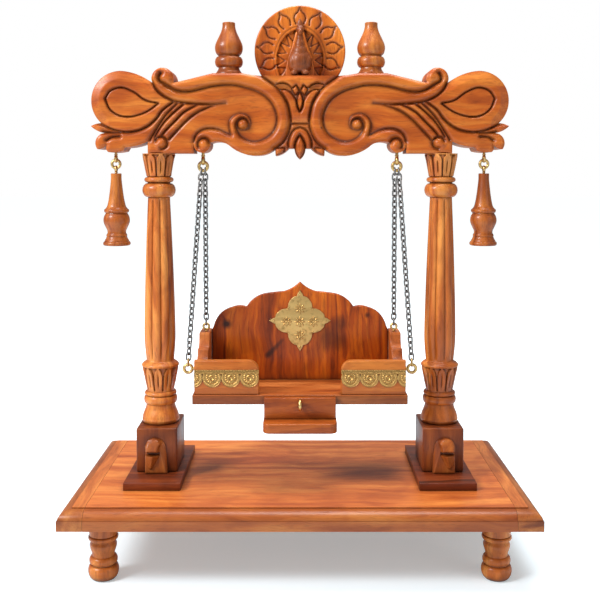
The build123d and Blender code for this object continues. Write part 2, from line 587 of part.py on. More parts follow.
def side_panel(s):
    """A stepped side: low behind the front panel, a ledge, then the post that carries an eye."""
    y0 = PANEL_FRONT + FRONT_PANEL_T
    low, ledge, post = SIDE_FRONT_H, SIDE_STEP_H, SIDE_POST_H
    outline = run_edges((y0, -HOUSING), [
        (y0, low), (-15.0, low), (-11.2, low + 4.4, -9.0, ledge - 1.5), (-7.5, ledge), (1.0, ledge),
        (5.2, ledge + 5.6, 7.0, post - 2.0), (8.5, post), (SEAT_BACK, post), (SEAT_BACK, -HOUSING),
        (y0, -HOUSING),
    ])
    panel = extrude(Face(Wire(outline)), SIDE_T / 2, both=True, dir=(0, 1, 0)).rotate(Axis.Z, 90)
    panel = Pos(s * (PANEL_X - SIDE_T / 2), 0, SEAT_TOP) * panel
    across = shank(EYE_WIRE, -SHANK_L, 1, CLEAR).rotate(Axis.Y, s * 90)
    panel -= Pos(s * PANEL_X, FRONT_EYE_Y, FRONT_EYE_Z) * across
    upright = shank(REAR_EYE_WIRE, -SHANK_L - 1, 1, CLEAR)
    return panel - Pos(s * REAR_EYE_X, REAR_EYE_Y, SEAT_TOP + post) * upright


def backrest():
    """A board with an ogee peak, two wide lobes and two outer lobes, cusps between them."""
    w, h = PANEL_X - SIDE_T - JOINT_GAP, BACK_H
    right = run_edges((w, -HOUSING), [
        (w, h * 0.52), (w - 2.1, h * 0.57), (w * 0.84, h * 0.725, w * 0.62, h * 0.744),
        (w * 0.47, h * 0.859, w * 0.22, h * 0.893), (w * 0.095, h * 0.934, 0, h), (0, -HOUSING),
        (w, -HOUSING),
    ])
    board = extrude(Face(Wire(right)), BACK_T, dir=(0, 1, 0))
    board += mirror(board, about=Plane.YZ)
    return Pos(0, BACK_Y, SEAT_TOP) * board


def panel_parts():
    """Backrest, sides, front panels and the brass on them."""
    x1, x0 = PANEL_X, PANEL_X - FRONT_PANEL_W
    y0, y1 = PANEL_FRONT, PANEL_FRONT + FRONT_PANEL_T
    front = block(x0, x1, y0, y1, SEAT_TOP - HOUSING, SEAT_TOP + FRONT_PANEL_H)
    inner = front.edges().filter_by(Axis.Y).group_by(Axis.Z)[-1].group_by(Axis.X)[0]
    front = fillet(inner, FRONT_PANEL_R)
    lace = lace_strip()
    parts = {"backrest": backrest(), "backrest_plate": four_lobed_plate()}
    for name, s in SIDES.items():
        parts["side_panel_" + name] = side_panel(s)
        parts["front_panel_" + name] = front if s > 0 else mirror(front, about=Plane.YZ)
        parts["lace_strip_" + name] = lace if s > 0 else mirror(lace, about=Plane.YZ)
    return parts


def lace_strip():
    """Brass lace: a plain band with half-round medallions hanging from it."""
    x1, x0 = PANEL_X, PANEL_X - FRONT_PANEL_W
    top = SEAT_TOP + FRONT_PANEL_H - LACE_DROP
    row = Pos((x0 + x1) / 2, top - LACE_BAND / 2) * Rectangle(x1 - x0, LACE_BAND)
    for i in range(math.ceil(FRONT_PANEL_W / MEDAL_PITCH)):
        medal = RegularPolygon(MEDAL_R, MEDAL_SIDES, rotation=180 / MEDAL_SIDES)
        row += Pos(x0 + MEDAL_R + i * MEDAL_PITCH, top - LACE_H + MEDAL_R) * medal
    keep = Pos((x0 + x1) / 2, top - LACE_H / 2) * Rectangle(x1 - x0, LACE_H)
    return extrude(Plane.XZ.offset(-PANEL_FRONT) * (row & keep), LACE_T)


def four_lobed_plate():
    """A brass plate of four pointed lobes with a small notch between each pair."""
    t = PLATE_TIP
    lobe = [(0.0, 1.0), (0.05, 0.9), (0.15, 0.79), (0.27, 0.68), (0.35, 0.55), (0.39, 0.41)]
    points = [(x * t, z * t) for x, z in lobe] + [(z * t, x * t) for x, z in reversed(lobe)] + [(0, 0)]
    quarter = extrude(Plane.XZ * make_face(Polyline(*points, close=True)), PLATE_THICK)
    plate = quarter
    for turn in (90, 180, 270):
        plate += quarter.rotate(Axis.Y, turn)
    return Pos(0, BACK_Y, SEAT_TOP + PLATE_RISE) * plate


def eye_parts():
    """The seat's screw eyes: level ones at the front of the sides, upright ones on the posts."""
    front = screw_eye(EYE_R, EYE_WIRE, EYE_WIRE * 0.75, SHANK_L - 2).rotate(Axis.Z, 90)
    rear = screw_eye(REAR_EYE_R, REAR_EYE_WIRE, REAR_EYE_WIRE * 0.5, SHANK_L).rotate(Axis.Z, 90)
    rear = rear.rotate(Axis.X, 180)
    parts = {}
    for name, s in SIDES.items():
        inward = front.rotate(Axis.Y, -90 * s)
        parts["front_eye_" + name] = Pos(s * FRONT_EYE_X, FRONT_EYE_Y, FRONT_EYE_Z) * inward
        parts["rear_eye_" + name] = Pos(s * REAR_EYE_X, REAR_EYE_Y, REAR_EYE_Z) * rear
    return parts


# ---------------------------------------------------------------- chains
def link(pitch, wire, width):
    """One link, long axis on Z, in the YZ plane: a loop of square wire with clipped corners."""
    length = pitch + 2 * wire + LINK_GAP
    w, h, clip = width / 2, length / 2, width * LINK_CLIP
    outline = Rectangle(width, length)
    if clip:
        corners = [(w, clip - h), (w, h - clip), (w - clip, h), (clip - w, h),
                   (-w, h - clip), (-w, clip - h), (clip - w, -h), (w - clip, -h)]
        outline = make_face(Polyline(*corners, close=True))
    hole = Rectangle(width - 2 * wire, length - 2 * wire)
    return extrude(Plane.YZ * (outline - hole), wire / 2, both=True)


def chain(upper, lower, upper_wire, lower_wire):
    """Links from one crosswise wire to another, each a quarter turn on, twisted between them."""
    top, bottom = Vector(*upper), Vector(*lower)
    fall = bottom - top
    reach = fall.length + HOOK_PLAY + EYE_PLAY - LINK_GAP + upper_wire / 2 + lower_wire / 2
    count = 2 * round((reach / CHAIN_PITCH - 1) / 2) + 1
    pitch = reach / count
    down = fall.normalized()
    one = link(pitch, CHAIN_WIRE, CHAIN_W)
    first = pitch / 2 + LINK_GAP / 2 - upper_wire / 2 - HOOK_PLAY
    across = (Vector(1, 0, 0) - down * down.X).normalized()
    frame = Plane(origin=top, x_dir=across, z_dir=-down)
    links = []
    for i in range(count):
        twist = CHAIN_TWIST * min(1.0, i / TWIST_LINKS, (count - 1 - i) / TWIST_LINKS)
        links.append(frame * Pos(0, 0, -first - i * pitch) * Rot(0, 0, 90 * (i % 2) + twist) * one)
    return links


def chain_parts():
    """Front and rear chain of each side; the front ones end in a brass connecting link."""
    z = RING_Z - RING_R
    front = chain((SWING_X + HOOK_SPREAD, 0, z), (FRONT_EYE_X, FRONT_EYE_Y, FRONT_EYE_Z + EYE_R),
                  RING_WIRE, EYE_WIRE)
    rear = chain((SWING_X - HOOK_SPREAD, 0, z), (REAR_EYE_X, REAR_EYE_Y, REAR_EYE_Z + REAR_EYE_R),
                 RING_WIRE, REAR_EYE_WIRE)
    connector = front.pop()
    parts = {"chain_front_right": Compound(children=front), "chain_rear_right": Compound(children=rear)}
    for run, links in (("front", front), ("rear", rear)):
        other = [mirror(one, about=Plane.YZ) for one in links]
        parts["chain_" + run + "_left"] = Compound(children=other)
    pair = [connector, mirror(connector, about=Plane.YZ)]
    parts["connecting_links"] = Compound(children=pair)
    return parts


# ---------------------------------------------------------------- whole swing
def build():
    """Every piece by its name."""
    parts = {}
    for make in (base_parts, foot_parts, plinth_parts, pillar_parts, crest_parts, finial_parts, disc_parts,
                 hanging_parts, seat_board_parts, panel_parts, eye_parts, chain_parts):
        parts.update(make())
    return parts


os.makedirs("parts", exist_ok=True)
for node, shape in build().items():
    export_step(shape, os.path.join("parts", node + ".step"))
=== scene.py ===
import math

import bpy
import numpy as np
from mathutils import Matrix, Vector


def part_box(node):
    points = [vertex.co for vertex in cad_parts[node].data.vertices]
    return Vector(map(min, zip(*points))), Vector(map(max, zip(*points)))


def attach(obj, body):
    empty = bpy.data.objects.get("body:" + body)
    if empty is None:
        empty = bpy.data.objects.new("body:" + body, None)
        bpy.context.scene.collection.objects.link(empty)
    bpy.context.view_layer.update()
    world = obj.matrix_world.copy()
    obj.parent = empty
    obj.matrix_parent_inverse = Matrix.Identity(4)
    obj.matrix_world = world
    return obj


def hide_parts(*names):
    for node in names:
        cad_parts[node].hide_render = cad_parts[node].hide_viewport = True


# A carved tabletop swing in oiled hardwood with brass and steel fittings. The pieces are
# modelled in millimetres and brought to metres when they are fitted to the frame.

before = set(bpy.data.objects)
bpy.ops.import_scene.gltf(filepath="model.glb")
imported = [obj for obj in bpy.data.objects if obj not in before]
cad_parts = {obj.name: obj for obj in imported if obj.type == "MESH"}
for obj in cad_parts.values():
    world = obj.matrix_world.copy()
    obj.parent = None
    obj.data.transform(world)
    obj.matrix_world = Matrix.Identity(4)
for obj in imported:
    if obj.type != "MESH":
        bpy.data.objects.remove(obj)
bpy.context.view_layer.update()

MM = 0.001
SIDES = {"left": -1, "right": 1}


# ---------------------------------------------------------------- places taken from the frame
def span(node):
    """Lowest and highest corner of a node, in millimetres."""
    low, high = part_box(node)
    return np.array(low) / MM, np.array(high) / MM


def middle(node):
    """Centre of a node's box, in millimetres."""
    low, high = span(node)
    return (low + high) / 2


PLANK_LOW, PLANK_HIGH = span("base_board")[0][2], span("base_board")[1][2]
LEAF_TIP = 6.4                                  # pendant leaf below the beam's underside
UNDERSIDE = span("crest_beam")[0][2] + LEAF_TIP
BEAM_H = 83.4
BEAM_TOP = UNDERSIDE + BEAM_H
BEAM_FRONT, BEAM_BACK = span("crest_beam")[0][1], span("crest_beam")[1][1]
RELIEF = 6.0                                    # highest carving over the sunk ground
PILLAR_X = middle("pillar_right")[0]
BLOCK_TOP = span("pillar_block_right")[1][2]
PLATE_TOP = span("plinth_plate_right")[1][2]
SEAT_TOP = span("seat_board")[1][2]


# ---------------------------------------------------------------- small tools
def pick(*pieces):
    """Selects these pieces alone; the first is the active one."""
    bpy.ops.object.select_all(action="DESELECT")
    for piece in pieces:
        piece.select_set(True)
    bpy.context.view_layer.objects.active = pieces[0]


def started(primitive, **sizes):
    """A new primitive at its size, with nothing else selected."""
    bpy.ops.object.select_all(action="DESELECT")
    primitive(**sizes)
    return bpy.context.object


def corners(piece):
    """The vertices' places as an array."""
    places = np.empty(len(piece.data.vertices) * 3)
    piece.data.vertices.foreach_get("co", places)
    return places.reshape(-1, 3)


def set_corners(piece, places):
    """Moves every vertex to its new place."""
    piece.data.vertices.foreach_set("co", np.asarray(places, float).ravel())
    piece.data.update()


def edit(piece):
    """Opens a piece in edit mode with all of it selected."""
    pick(piece)
    bpy.ops.object.mode_set(mode="EDIT")
    bpy.ops.mesh.select_all(action="SELECT")


def close_up():
    """Merges doubles, turns the faces outwards and leaves edit mode."""
    bpy.ops.mesh.select_all(action="SELECT")
    bpy.ops.mesh.remove_doubles(threshold=1e-4)
    bpy.ops.mesh.normals_make_consistent(inside=False)
    bpy.ops.object.mode_set(mode="OBJECT")


def settle(piece):
    """Puts a piece's place, turn and size into its mesh."""
    pick(piece)
    bpy.ops.object.transform_apply(location=True, rotation=True, scale=True)


def joined(pieces):
    """One piece out of several."""
    pick(*pieces)
    if len(pieces) > 1:
        bpy.ops.object.join()
    return pieces[0]


def copied(piece, shift=(0, 0, 0), flip=False):
    """A copy with its own mesh, shifted or flipped left to right."""
    twin = piece.copy()
    twin.data = piece.data.copy()
    bpy.context.collection.objects.link(twin)
    if flip:
        twin.data.transform(Matrix.Scale(-1, 4, (1, 0, 0)))
        twin.data.flip_normals()
    twin.data.transform(Matrix.Translation(shift))
    return twin


def apply_modifier(piece, kind, **settings):
    """Adds one modifier with its settings and applies it."""
    pick(piece)
    modifier = piece.modifiers.new(kind, kind)
    for name, value in settings.items():
        setattr(modifier, name, value)
    bpy.ops.object.modifier_apply(modifier=modifier.name)


def fit(piece, name, finish, body, nodes=(), angle=40):
    """Brings a finished piece to metres, names and shades it, and hangs it on its body."""
    settle(piece)
    piece.data.transform(Matrix.Scale(MM, 4))
    piece.name = name
    piece.data.name = name
    piece.data.materials.clear()
    piece.data.materials.append(finish)
    pick(piece)
    bpy.ops.object.shade_smooth_by_angle(angle=math.radians(angle))
    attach(piece, body)
    if nodes:
        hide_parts(*nodes)
    return piece


# ---------------------------------------------------------------- drawn lines
ARC_STEP = 1.2              # longest step along an arc
CIRCLE_STEPS = 28
FAR = 1e9                   # farther than any spot is from a line


def through(start, mid, end):
    """Points of the arc from start to end through mid, without its start."""
    (x0, z0), (x1, z1), (x2, z2) = start, mid, end
    turn = 2 * (x0 * (z1 - z2) + x1 * (z2 - z0) + x2 * (z0 - z1))
    a, b, c = x0 ** 2 + z0 ** 2, x1 ** 2 + z1 ** 2, x2 ** 2 + z2 ** 2
    cx = (a * (z1 - z2) + b * (z2 - z0) + c * (z0 - z1)) / turn
    cz = (a * (x2 - x1) + b * (x0 - x2) + c * (x1 - x0)) / turn
    radius = math.hypot(x0 - cx, z0 - cz)
    first = math.atan2(z0 - cz, x0 - cx)
    sweep = (math.atan2(z2 - cz, x2 - cx) - first) % (2 * math.pi)
    if (math.atan2(z1 - cz, x1 - cx) - first) % (2 * math.pi) > sweep:
        sweep -= 2 * math.pi
    count = max(2, math.ceil(abs(sweep) * radius / ARC_STEP))
    angles = [first + sweep * (i + 1) / count for i in range(count)]
    return [(cx + radius * math.cos(t), cz + radius * math.sin(t)) for t in angles]


def run(start, moves):
    """An outline from moves: two numbers are a line, four an arc through a point."""
    points = [start]
    for move in moves:
        if len(move) == 2:
            points.append(move)
        else:
            points += through(points[-1], move[:2], move[2:])
    return points


def flowing(points, cuts=6):
    """A smooth line through given points, each stretch in a number of cuts."""
    points = [np.array(p, float) for p in points]
    points = [2 * points[0] - points[1]] + points + [2 * points[-1] - points[-2]]
    line = []
    for a, b, c, d in zip(points, points[1:], points[2:], points[3:]):
        for i in range(cuts):
            t = i / cuts
            line.append(0.5 * (2 * b + (c - a) * t + (2 * a - 5 * b + 4 * c - d) * t * t
                               + (3 * b - a - 3 * c + d) * t ** 3))
    line.append(points[-2])
    return [tuple(p) for p in line]


def circle(x, z, radius, first=0, last=360):
    """Points of a circle, or of its part between two angles in degrees."""
    turns = [math.radians(first + (last - first) * i / CIRCLE_STEPS) for i in range(CIRCLE_STEPS + 1)]
    return [(x + radius * math.cos(a), z + radius * math.sin(a)) for a in turns]


def distance(spots, line):
    """Distance of each spot to a line of points."""
    best = np.full(len(spots), FAR)
    for a, b in zip(np.array(line[:-1]), np.array(line[1:])):
        along = b - a
        share = np.clip(((spots - a) @ along) / max(along @ along, 1e-9), 0, 1)
        best = np.minimum(best, np.hypot(*(spots - a - share[:, None] * along).T))
    return best


def within(spots, outline):
    """True for each spot inside a closed outline."""
    x, z = spots.T
    inside = np.zeros(len(spots), bool)
    for (x0, z0), (x1, z1) in zip(outline, outline[1:] + outline[:1]):
        if z0 != z1:
            crosses = (z0 > z) != (z1 > z)
            inside ^= crosses & (x < (x1 - x0) * (z - z0) / (z1 - z0) + x0)
    return inside


def quarter_round(share):
    """0 at a groove, rising as a quarter round to 1."""
    rest = 1 - np.clip(share, 0, 1)
    return np.sqrt(1 - rest * rest)


def gouged(share):
    """0 at a groove, rising as the side of a gouge cut to 1."""
    rest = 1 - np.clip(share, 0, 1)
    return 1 - rest ** 2.3


def ridge(gap, width):
    """1 where a gap is 0, falling off softly on both sides within a width."""
    return np.exp(-(gap / width) ** 2)


def blurred(grid, cells):
    """A grid of values, softened over some cells."""
    reach = int(cells * 2.5) + 1                # beyond it the weights are next to nothing
    weights = np.exp(-0.5 * (np.arange(-reach, reach + 1) / cells) ** 2)
    weights /= weights.sum()
    for axis in (0, 1):
        edges = [(reach, reach) if i == axis else (0, 0) for i in (0, 1)]
        padded = np.pad(grid, edges, mode="edge")
        length = grid.shape[axis]
        parts = [w * np.take(padded, range(i, i + length), axis) for i, w in enumerate(weights)]
        grid = sum(parts)
    return grid


# ---------------------------------------------------------------- turned and sawn pieces
def profile(start, *runs):
    """A lathe profile from (radius, height): straight to, ease to, or a bead that swells between."""
    points = [start]
    for kind, radius, height, *swell in runs:
        r0, z0 = points[-1]
        count = 1 if kind == "to" else max(6, math.ceil(abs(height - z0) / 2))
        for i in range(1, count + 1):
            t = i / count
            eased = (1 - math.cos(math.pi * t)) / 2
            r = radius if kind == "to" else r0 + (radius - r0) * eased
            if kind == "bead":
                r += swell[0] * math.sin(math.pi * t)
            points.append((r, z0 + (height - z0) * (eased if kind == "bead" else t)))
    return points


def drawn(points, closed, **settings):
    """A line drawn as a curve with its settings, made a mesh and opened in edit mode."""
    curve = bpy.data.curves.new("drawn", "CURVE")
    for name, value in settings.items():
        setattr(curve, name, value)
    line = curve.splines.new("POLY")
    line.points.add(len(points) - 1)
    for dot, place in zip(line.points, points):
        dot.co = (*place, 1)
    line.use_cyclic_u = closed
    piece = bpy.data.objects.new("drawn", curve)
    bpy.context.collection.objects.link(piece)
    pick(piece)
    bpy.ops.object.convert(target="MESH")
    piece = bpy.context.object
    edit(piece)
    return piece


def lathe(points, x=0.0, y=0.0, steps=64):
    """A turned piece: its profile drawn as a line, then spun round the upright axis."""
    piece = drawn([(radius, 0, height) for radius, height in points], False, dimensions="3D")
    bpy.ops.mesh.spin(steps=steps, angle=2 * math.pi, center=(0, 0, 0), axis=(0, 0, 1))
    close_up()
    piece.data.transform(Matrix.Translation((x, y, 0)))
    return piece


def carved_round(piece, shape):
    """Carves a turned piece on its own axis: shape gives each radius from (radius, angle, height)."""
    places = corners(piece)
    radius = np.hypot(places[:, 0], places[:, 1])
    angle = np.arctan2(places[:, 1], places[:, 0])
    share = shape(radius, angle, places[:, 2]) / np.maximum(radius, 1e-6)
    places[:, :2] *= share[:, None]
    set_corners(piece, places)


# How a board's drawn outline is turned, and the direction through the board.
UPRIGHT = Matrix(((1, 0, 0, 0), (0, 0, -1, 0), (0, 1, 0, 0), (0, 0, 0, 1))), (0, 1, 0)      # drawn in X, Z
SIDEWAYS = Matrix(((0, 0, 1, 0), (1, 0, 0, 0), (0, 1, 0, 0), (0, 0, 0, 1))), (1, 0, 0)      # drawn in Y, Z
LYING = Matrix.Identity(4), (0, 0, 1)                                                       # drawn in X, Y


def sawn(outline, low, high, ease, plane=UPRIGHT):
    """A board sawn to an outline between two depths, with its edges eased."""
    piece = drawn([(a, b, 0) for a, b in outline], True, dimensions="2D", fill_mode="BOTH",
                  extrude=(high - low) / 2 - ease, bevel_depth=ease, offset=-ease, bevel_resolution=2)
    close_up()
    turn, through_board = plane
    piece.data.transform(turn)
    piece.data.transform(Matrix.Translation([(low + high) / 2 * part for part in through_board]))
    return piece


def planed(low, high, ease):
    """A square-cut block with its edges eased."""
    piece = started(bpy.ops.mesh.primitive_cube_add, size=1)
    low, high = np.array(low), np.array(high)
    piece.data.transform(Matrix.Translation((low + high) / 2) @ Matrix.Diagonal((*(high - low), 1)))
    edit(piece)
    bpy.ops.mesh.bevel(offset=ease, segments=3, affect="EDGES")
    close_up()
    return piece


def ball(x, y, z, rx, ry, rz, detail=3):
    """A rounded lump, longer or flatter along each axis."""
    piece = started(bpy.ops.mesh.primitive_ico_sphere_add, subdivisions=detail, radius=1)
    piece.data.transform(Matrix.Translation((x, y, z)) @ Matrix.Diagonal((rx, ry, rz, 1)))
    return piece


# ---------------------------------------------------------------- finishes
def linear(code):
    """An sRGB hex colour as the linear colour that a shader takes."""
    parts = [int(code[i:i + 2], 16) / 255 for i in (1, 3, 5)]
    return [p / 12.92 if p <= 0.04045 else ((p + 0.055) / 1.055) ** 2.4 for p in parts] + [1.0]


def node(tree, kind, inputs=None, stops=None, **settings):
    """Adds a shader node with its settings, its linked or plain inputs and its colour stops."""
    made = tree.nodes.new(kind)
    for name, value in settings.items():
        setattr(made, name, value)
    for name, value in (inputs or {}).items():
        if isinstance(value, bpy.types.NodeSocket):
            tree.links.new(value, made.inputs[name])
        else:
            made.inputs[name].default_value = value
    if stops:
        ramp = made.color_ramp
        while len(ramp.elements) < len(stops):
            ramp.elements.new(0.5)
        for element, (place, colour) in zip(ramp.elements, stops):
            element.position = place
            element.color = colour
    return made


def fresh(name):
    """An empty material and its node tree."""
    material = bpy.data.materials.new(name)
    material.use_nodes = True
    material.node_tree.nodes.clear()
    return material, material.node_tree


FIGURE_W, FIGURE_L = 0.022, 0.24        # broad bands of heartwood, metres across and along
STREAK_W, STREAK_L = 0.0036, 0.060      # growth lines
PORE_W, PORE_L = 0.0011, 0.016          # open pores, drawn about twice as coarse as they are
BENDS, BEND_SIZE = 9.0, 0.026           # slow bends of the grain: how many to a metre, and how far
BLOTCHES, BLOTCH_DEPTH = 17.0, 0.5      # darker patches to a metre, and how dark
PORE_SHADE = 0.62                       # how much of the colour an open pore keeps
PORE_DEPTH = 0.0004                     # metres
HOLLOW_W, HOLLOW_DEPTH = 0.008, 0.8     # hollows up to this wide are darkened as painted shade and held stain, and how much
CUT_DEPTH = 0.8                         # how much of it is painted into a carved cut, as held stain and painted shade
# Painted shade below edge_top: how much of the colour it keeps, and the height in metres over which it fades
# in.
MOULDING_SHADE, MOULDING_FADE = 0.62, 0.0004
# Darkest colour of the painted shade and held stain in hollows and cuts, and a knot's heart.
STAIN_AND_SHADE, KNOT_HEART = "#3E1605", "#2A1008"
MIX_FACTOR, MIX_A, MIX_B, MIX_RESULT = 0, 6, 7, 2       # a colour mix's sockets


def wood(name, grain, dark, mid, light, rough=0.42, streaks=0.6, shift=(0, 0, 0), knots=(),
         figure_w=FIGURE_W, gloss=0.12, edge_top=None):
    """Oiled hardwood: heartwood bands, darker growth lines and pores that run along the grain.

    A knot is a place, a size (both in metres) and a strength. Below edge_top (metres) the colour is
    darkened as painted shade, so a moulding or front edge reads darker than the flat above it.
    """
    material, tree = fresh(name)
    flat = node(tree, "ShaderNodeTexCoord").outputs["Object"]
    bend = node(tree, "ShaderNodeTexNoise", {"Vector": flat, "Scale": BENDS, "Detail": 2.5})
    bent = node(tree, "ShaderNodeMix", {MIX_FACTOR: BEND_SIZE, MIX_A: flat, MIX_B: bend.outputs["Color"]},
                data_type="RGBA", blend_type="ADD")

    def stretched(wide, long):
        scale = [1 / wide] * 3
        scale["XYZ".index(grain)] = 1 / long
        moved = [s * k for s, k in zip(shift, scale)]
        return node(tree, "ShaderNodeMapping", {"Vector": bent.outputs[MIX_RESULT], "Scale": scale,
                                                "Location": moved}).outputs[0]

    figure = node(tree, "ShaderNodeTexNoise",
                  {"Vector": stretched(figure_w, FIGURE_L), "Scale": 1.0, "Detail": 5.0, "Distortion": 1.1})
    lines = node(tree, "ShaderNodeTexNoise",
                 {"Vector": stretched(STREAK_W, STREAK_L), "Scale": 1.0, "Detail": 6.0, "Roughness": 0.68})
    pores = node(tree, "ShaderNodeTexNoise",
                 {"Vector": stretched(PORE_W, PORE_L), "Scale": 1.0, "Detail": 2.0})
    ground = node(tree, "ShaderNodeValToRGB", {"Fac": figure.outputs["Fac"]},
                  stops=[(0.30, linear(dark)), (0.48, linear(mid)), (0.68, linear(light))])
    lined = node(tree, "ShaderNodeMapRange", {
        "Value": lines.outputs["Fac"], "From Min": 0.50, "From Max": 0.74, "To Min": 0.0, "To Max": streaks})
    streaked = node(tree, "ShaderNodeMix", {
        MIX_FACTOR: lined.outputs[0], MIX_A: ground.outputs["Color"], MIX_B: linear(dark)}, data_type="RGBA")
    pored = node(tree, "ShaderNodeMapRange", {
        "Value": pores.outputs["Fac"], "From Min": 0.55, "From Max": 0.78, "To Min": 1.0,
        "To Max": PORE_SHADE})
    flecked = node(tree, "ShaderNodeMix", {
        MIX_FACTOR: 1.0, MIX_A: streaked.outputs[MIX_RESULT], MIX_B: pored.outputs[0]},
        data_type="RGBA", blend_type="MULTIPLY")
    blotch = node(tree, "ShaderNodeTexNoise",
                  {"Vector": flat, "Scale": BLOTCHES, "Detail": 2.0, "Distortion": 1.2})
    patch = node(tree, "ShaderNodeMapRange", {
        "Value": blotch.outputs["Fac"], "From Min": 0.48, "From Max": 0.72, "To Min": 0.0,
        "To Max": BLOTCH_DEPTH})
    patched = node(tree, "ShaderNodeMix", {
        MIX_FACTOR: patch.outputs[0], MIX_A: flecked.outputs[MIX_RESULT], MIX_B: linear(dark)},
        data_type="RGBA")
    colour = patched.outputs[MIX_RESULT]
    for spot, size, strength in knots:
        gap = node(tree, "ShaderNodeVectorMath", {0: flat, 1: spot}, operation="DISTANCE")
        fade = node(tree, "ShaderNodeMapRange", {
            "Value": gap.outputs["Value"], "From Min": size * 0.3, "From Max": size, "To Min": strength,
            "To Max": 0.0})
        knot = node(tree, "ShaderNodeMix", {
            MIX_FACTOR: fade.outputs[0], MIX_A: colour, MIX_B: linear(KNOT_HEART)}, data_type="RGBA")
        colour = knot.outputs[MIX_RESULT]
    # Painted shade: below edge_top the colour is darkened, so a moulding or front edge reads darker than the
    # flat above it.
    if edge_top:
        high = node(tree, "ShaderNodeSeparateXYZ", {"Vector": flat})
        edge_shade = node(tree, "ShaderNodeMapRange", {
            "Value": high.outputs["Z"], "From Min": edge_top - MOULDING_FADE, "From Max": edge_top,
            "To Min": MOULDING_SHADE, "To Max": 1.0})
        edged = node(tree, "ShaderNodeMix", {MIX_FACTOR: 1.0, MIX_A: colour, MIX_B: edge_shade.outputs[0]},
                     data_type="RGBA", blend_type="MULTIPLY")
        colour = edged.outputs[MIX_RESULT]
    # Painted shade: creases, joints and carved hollows found by ambient occlusion are darkened towards the
    # stain colour, standing also for stain held there.
    near = node(tree, "ShaderNodeAmbientOcclusion", {"Distance": HOLLOW_W}, samples=6)
    hollow = node(tree, "ShaderNodeMapRange", {
        "Value": near.outputs["AO"], "From Min": 0.2, "From Max": 0.9, "To Min": HOLLOW_DEPTH, "To Max": 0.0})
    stain_and_shade_mix = node(tree, "ShaderNodeMix", {
        MIX_FACTOR: hollow.outputs[0], MIX_A: colour, MIX_B: linear(STAIN_AND_SHADE)}, data_type="RGBA")
    # The carved cuts marked on the mesh are darkened too, as held stain and painted shade.
    cut = node(tree, "ShaderNodeAttribute", attribute_name="groove")
    cut_depth = node(tree, "ShaderNodeMath", {0: cut.outputs["Fac"], 1: CUT_DEPTH}, operation="MULTIPLY")
    grooved = node(tree, "ShaderNodeMix", {
        MIX_FACTOR: cut_depth.outputs[0], MIX_A: stain_and_shade_mix.outputs[MIX_RESULT], MIX_B: linear(STAIN_AND_SHADE)},
        data_type="RGBA")
    sheen = node(tree, "ShaderNodeMapRange", {
        "Value": lines.outputs["Fac"], "To Min": rough - 0.07, "To Max": rough + 0.10})
    height = node(tree, "ShaderNodeMath", {0: lines.outputs["Fac"], 1: pored.outputs[0]}, operation="ADD")
    bump = node(tree, "ShaderNodeBump",
                {"Height": height.outputs[0], "Strength": 0.22, "Distance": PORE_DEPTH})
    shader = node(tree, "ShaderNodeBsdfPrincipled", {
        "Base Color": grooved.outputs[MIX_RESULT], "Roughness": sheen.outputs[0], "Normal": bump.outputs[0],
        "Specular IOR Level": 0.3, "Coat Weight": gloss, "Coat Roughness": 0.18})
    node(tree, "ShaderNodeOutputMaterial", {"Surface": shader.outputs[0]})
    return material


TARNISH_W, TARNISH_DEPTH = 0.0015, 0.85     # hollows up to this wide (metres) are tarnished, and how much
FACE_TARNISH = 0.5                          # how much of it the darkest mottling on the face shows
DENT_DEPTH = 0.0002                         # metres


def metal(name, colour, tarnish, rough, pitch):
    """Bare metal with a mottled face and darker hollows; pitch is its mottling in metres."""
    material, tree = fresh(name)
    place = node(tree, "ShaderNodeTexCoord").outputs["Object"]
    mottle = node(tree, "ShaderNodeTexNoise", {"Vector": place, "Scale": 1 / pitch, "Detail": 3.0})
    near = node(tree, "ShaderNodeAmbientOcclusion", {"Distance": TARNISH_W}, samples=6)
    hollow = node(tree, "ShaderNodeMapRange", {
        "Value": near.outputs["AO"], "From Min": 0.3, "From Max": 0.9, "To Min": TARNISH_DEPTH,
        "To Max": 0.0})
    dull = node(tree, "ShaderNodeMapRange", {
        "Value": mottle.outputs["Fac"], "From Min": 0.52, "From Max": 0.8, "To Min": 0.0,
        "To Max": FACE_TARNISH})
    share = node(tree, "ShaderNodeMath", {0: hollow.outputs[0], 1: dull.outputs[0]}, operation="MAXIMUM")
    face = node(tree, "ShaderNodeMix", {
        MIX_FACTOR: share.outputs[0], MIX_A: linear(colour), MIX_B: linear(tarnish)}, data_type="RGBA")
    sheen = node(tree, "ShaderNodeMapRange", {
        "Value": mottle.outputs["Fac"], "To Min": rough - 0.08, "To Max": rough + 0.12})
    bump = node(tree, "ShaderNodeBump",
                {"Height": mottle.outputs["Fac"], "Strength": 0.12, "Distance": DENT_DEPTH})
    shader = node(tree, "ShaderNodeBsdfPrincipled", {
        "Base Color": face.outputs[MIX_RESULT], "Roughness": sheen.outputs[0], "Metallic": 1.0,
        "Normal": bump.outputs[0]})
    node(tree, "ShaderNodeOutputMaterial", {"Surface": shader.outputs[0]})
    return material


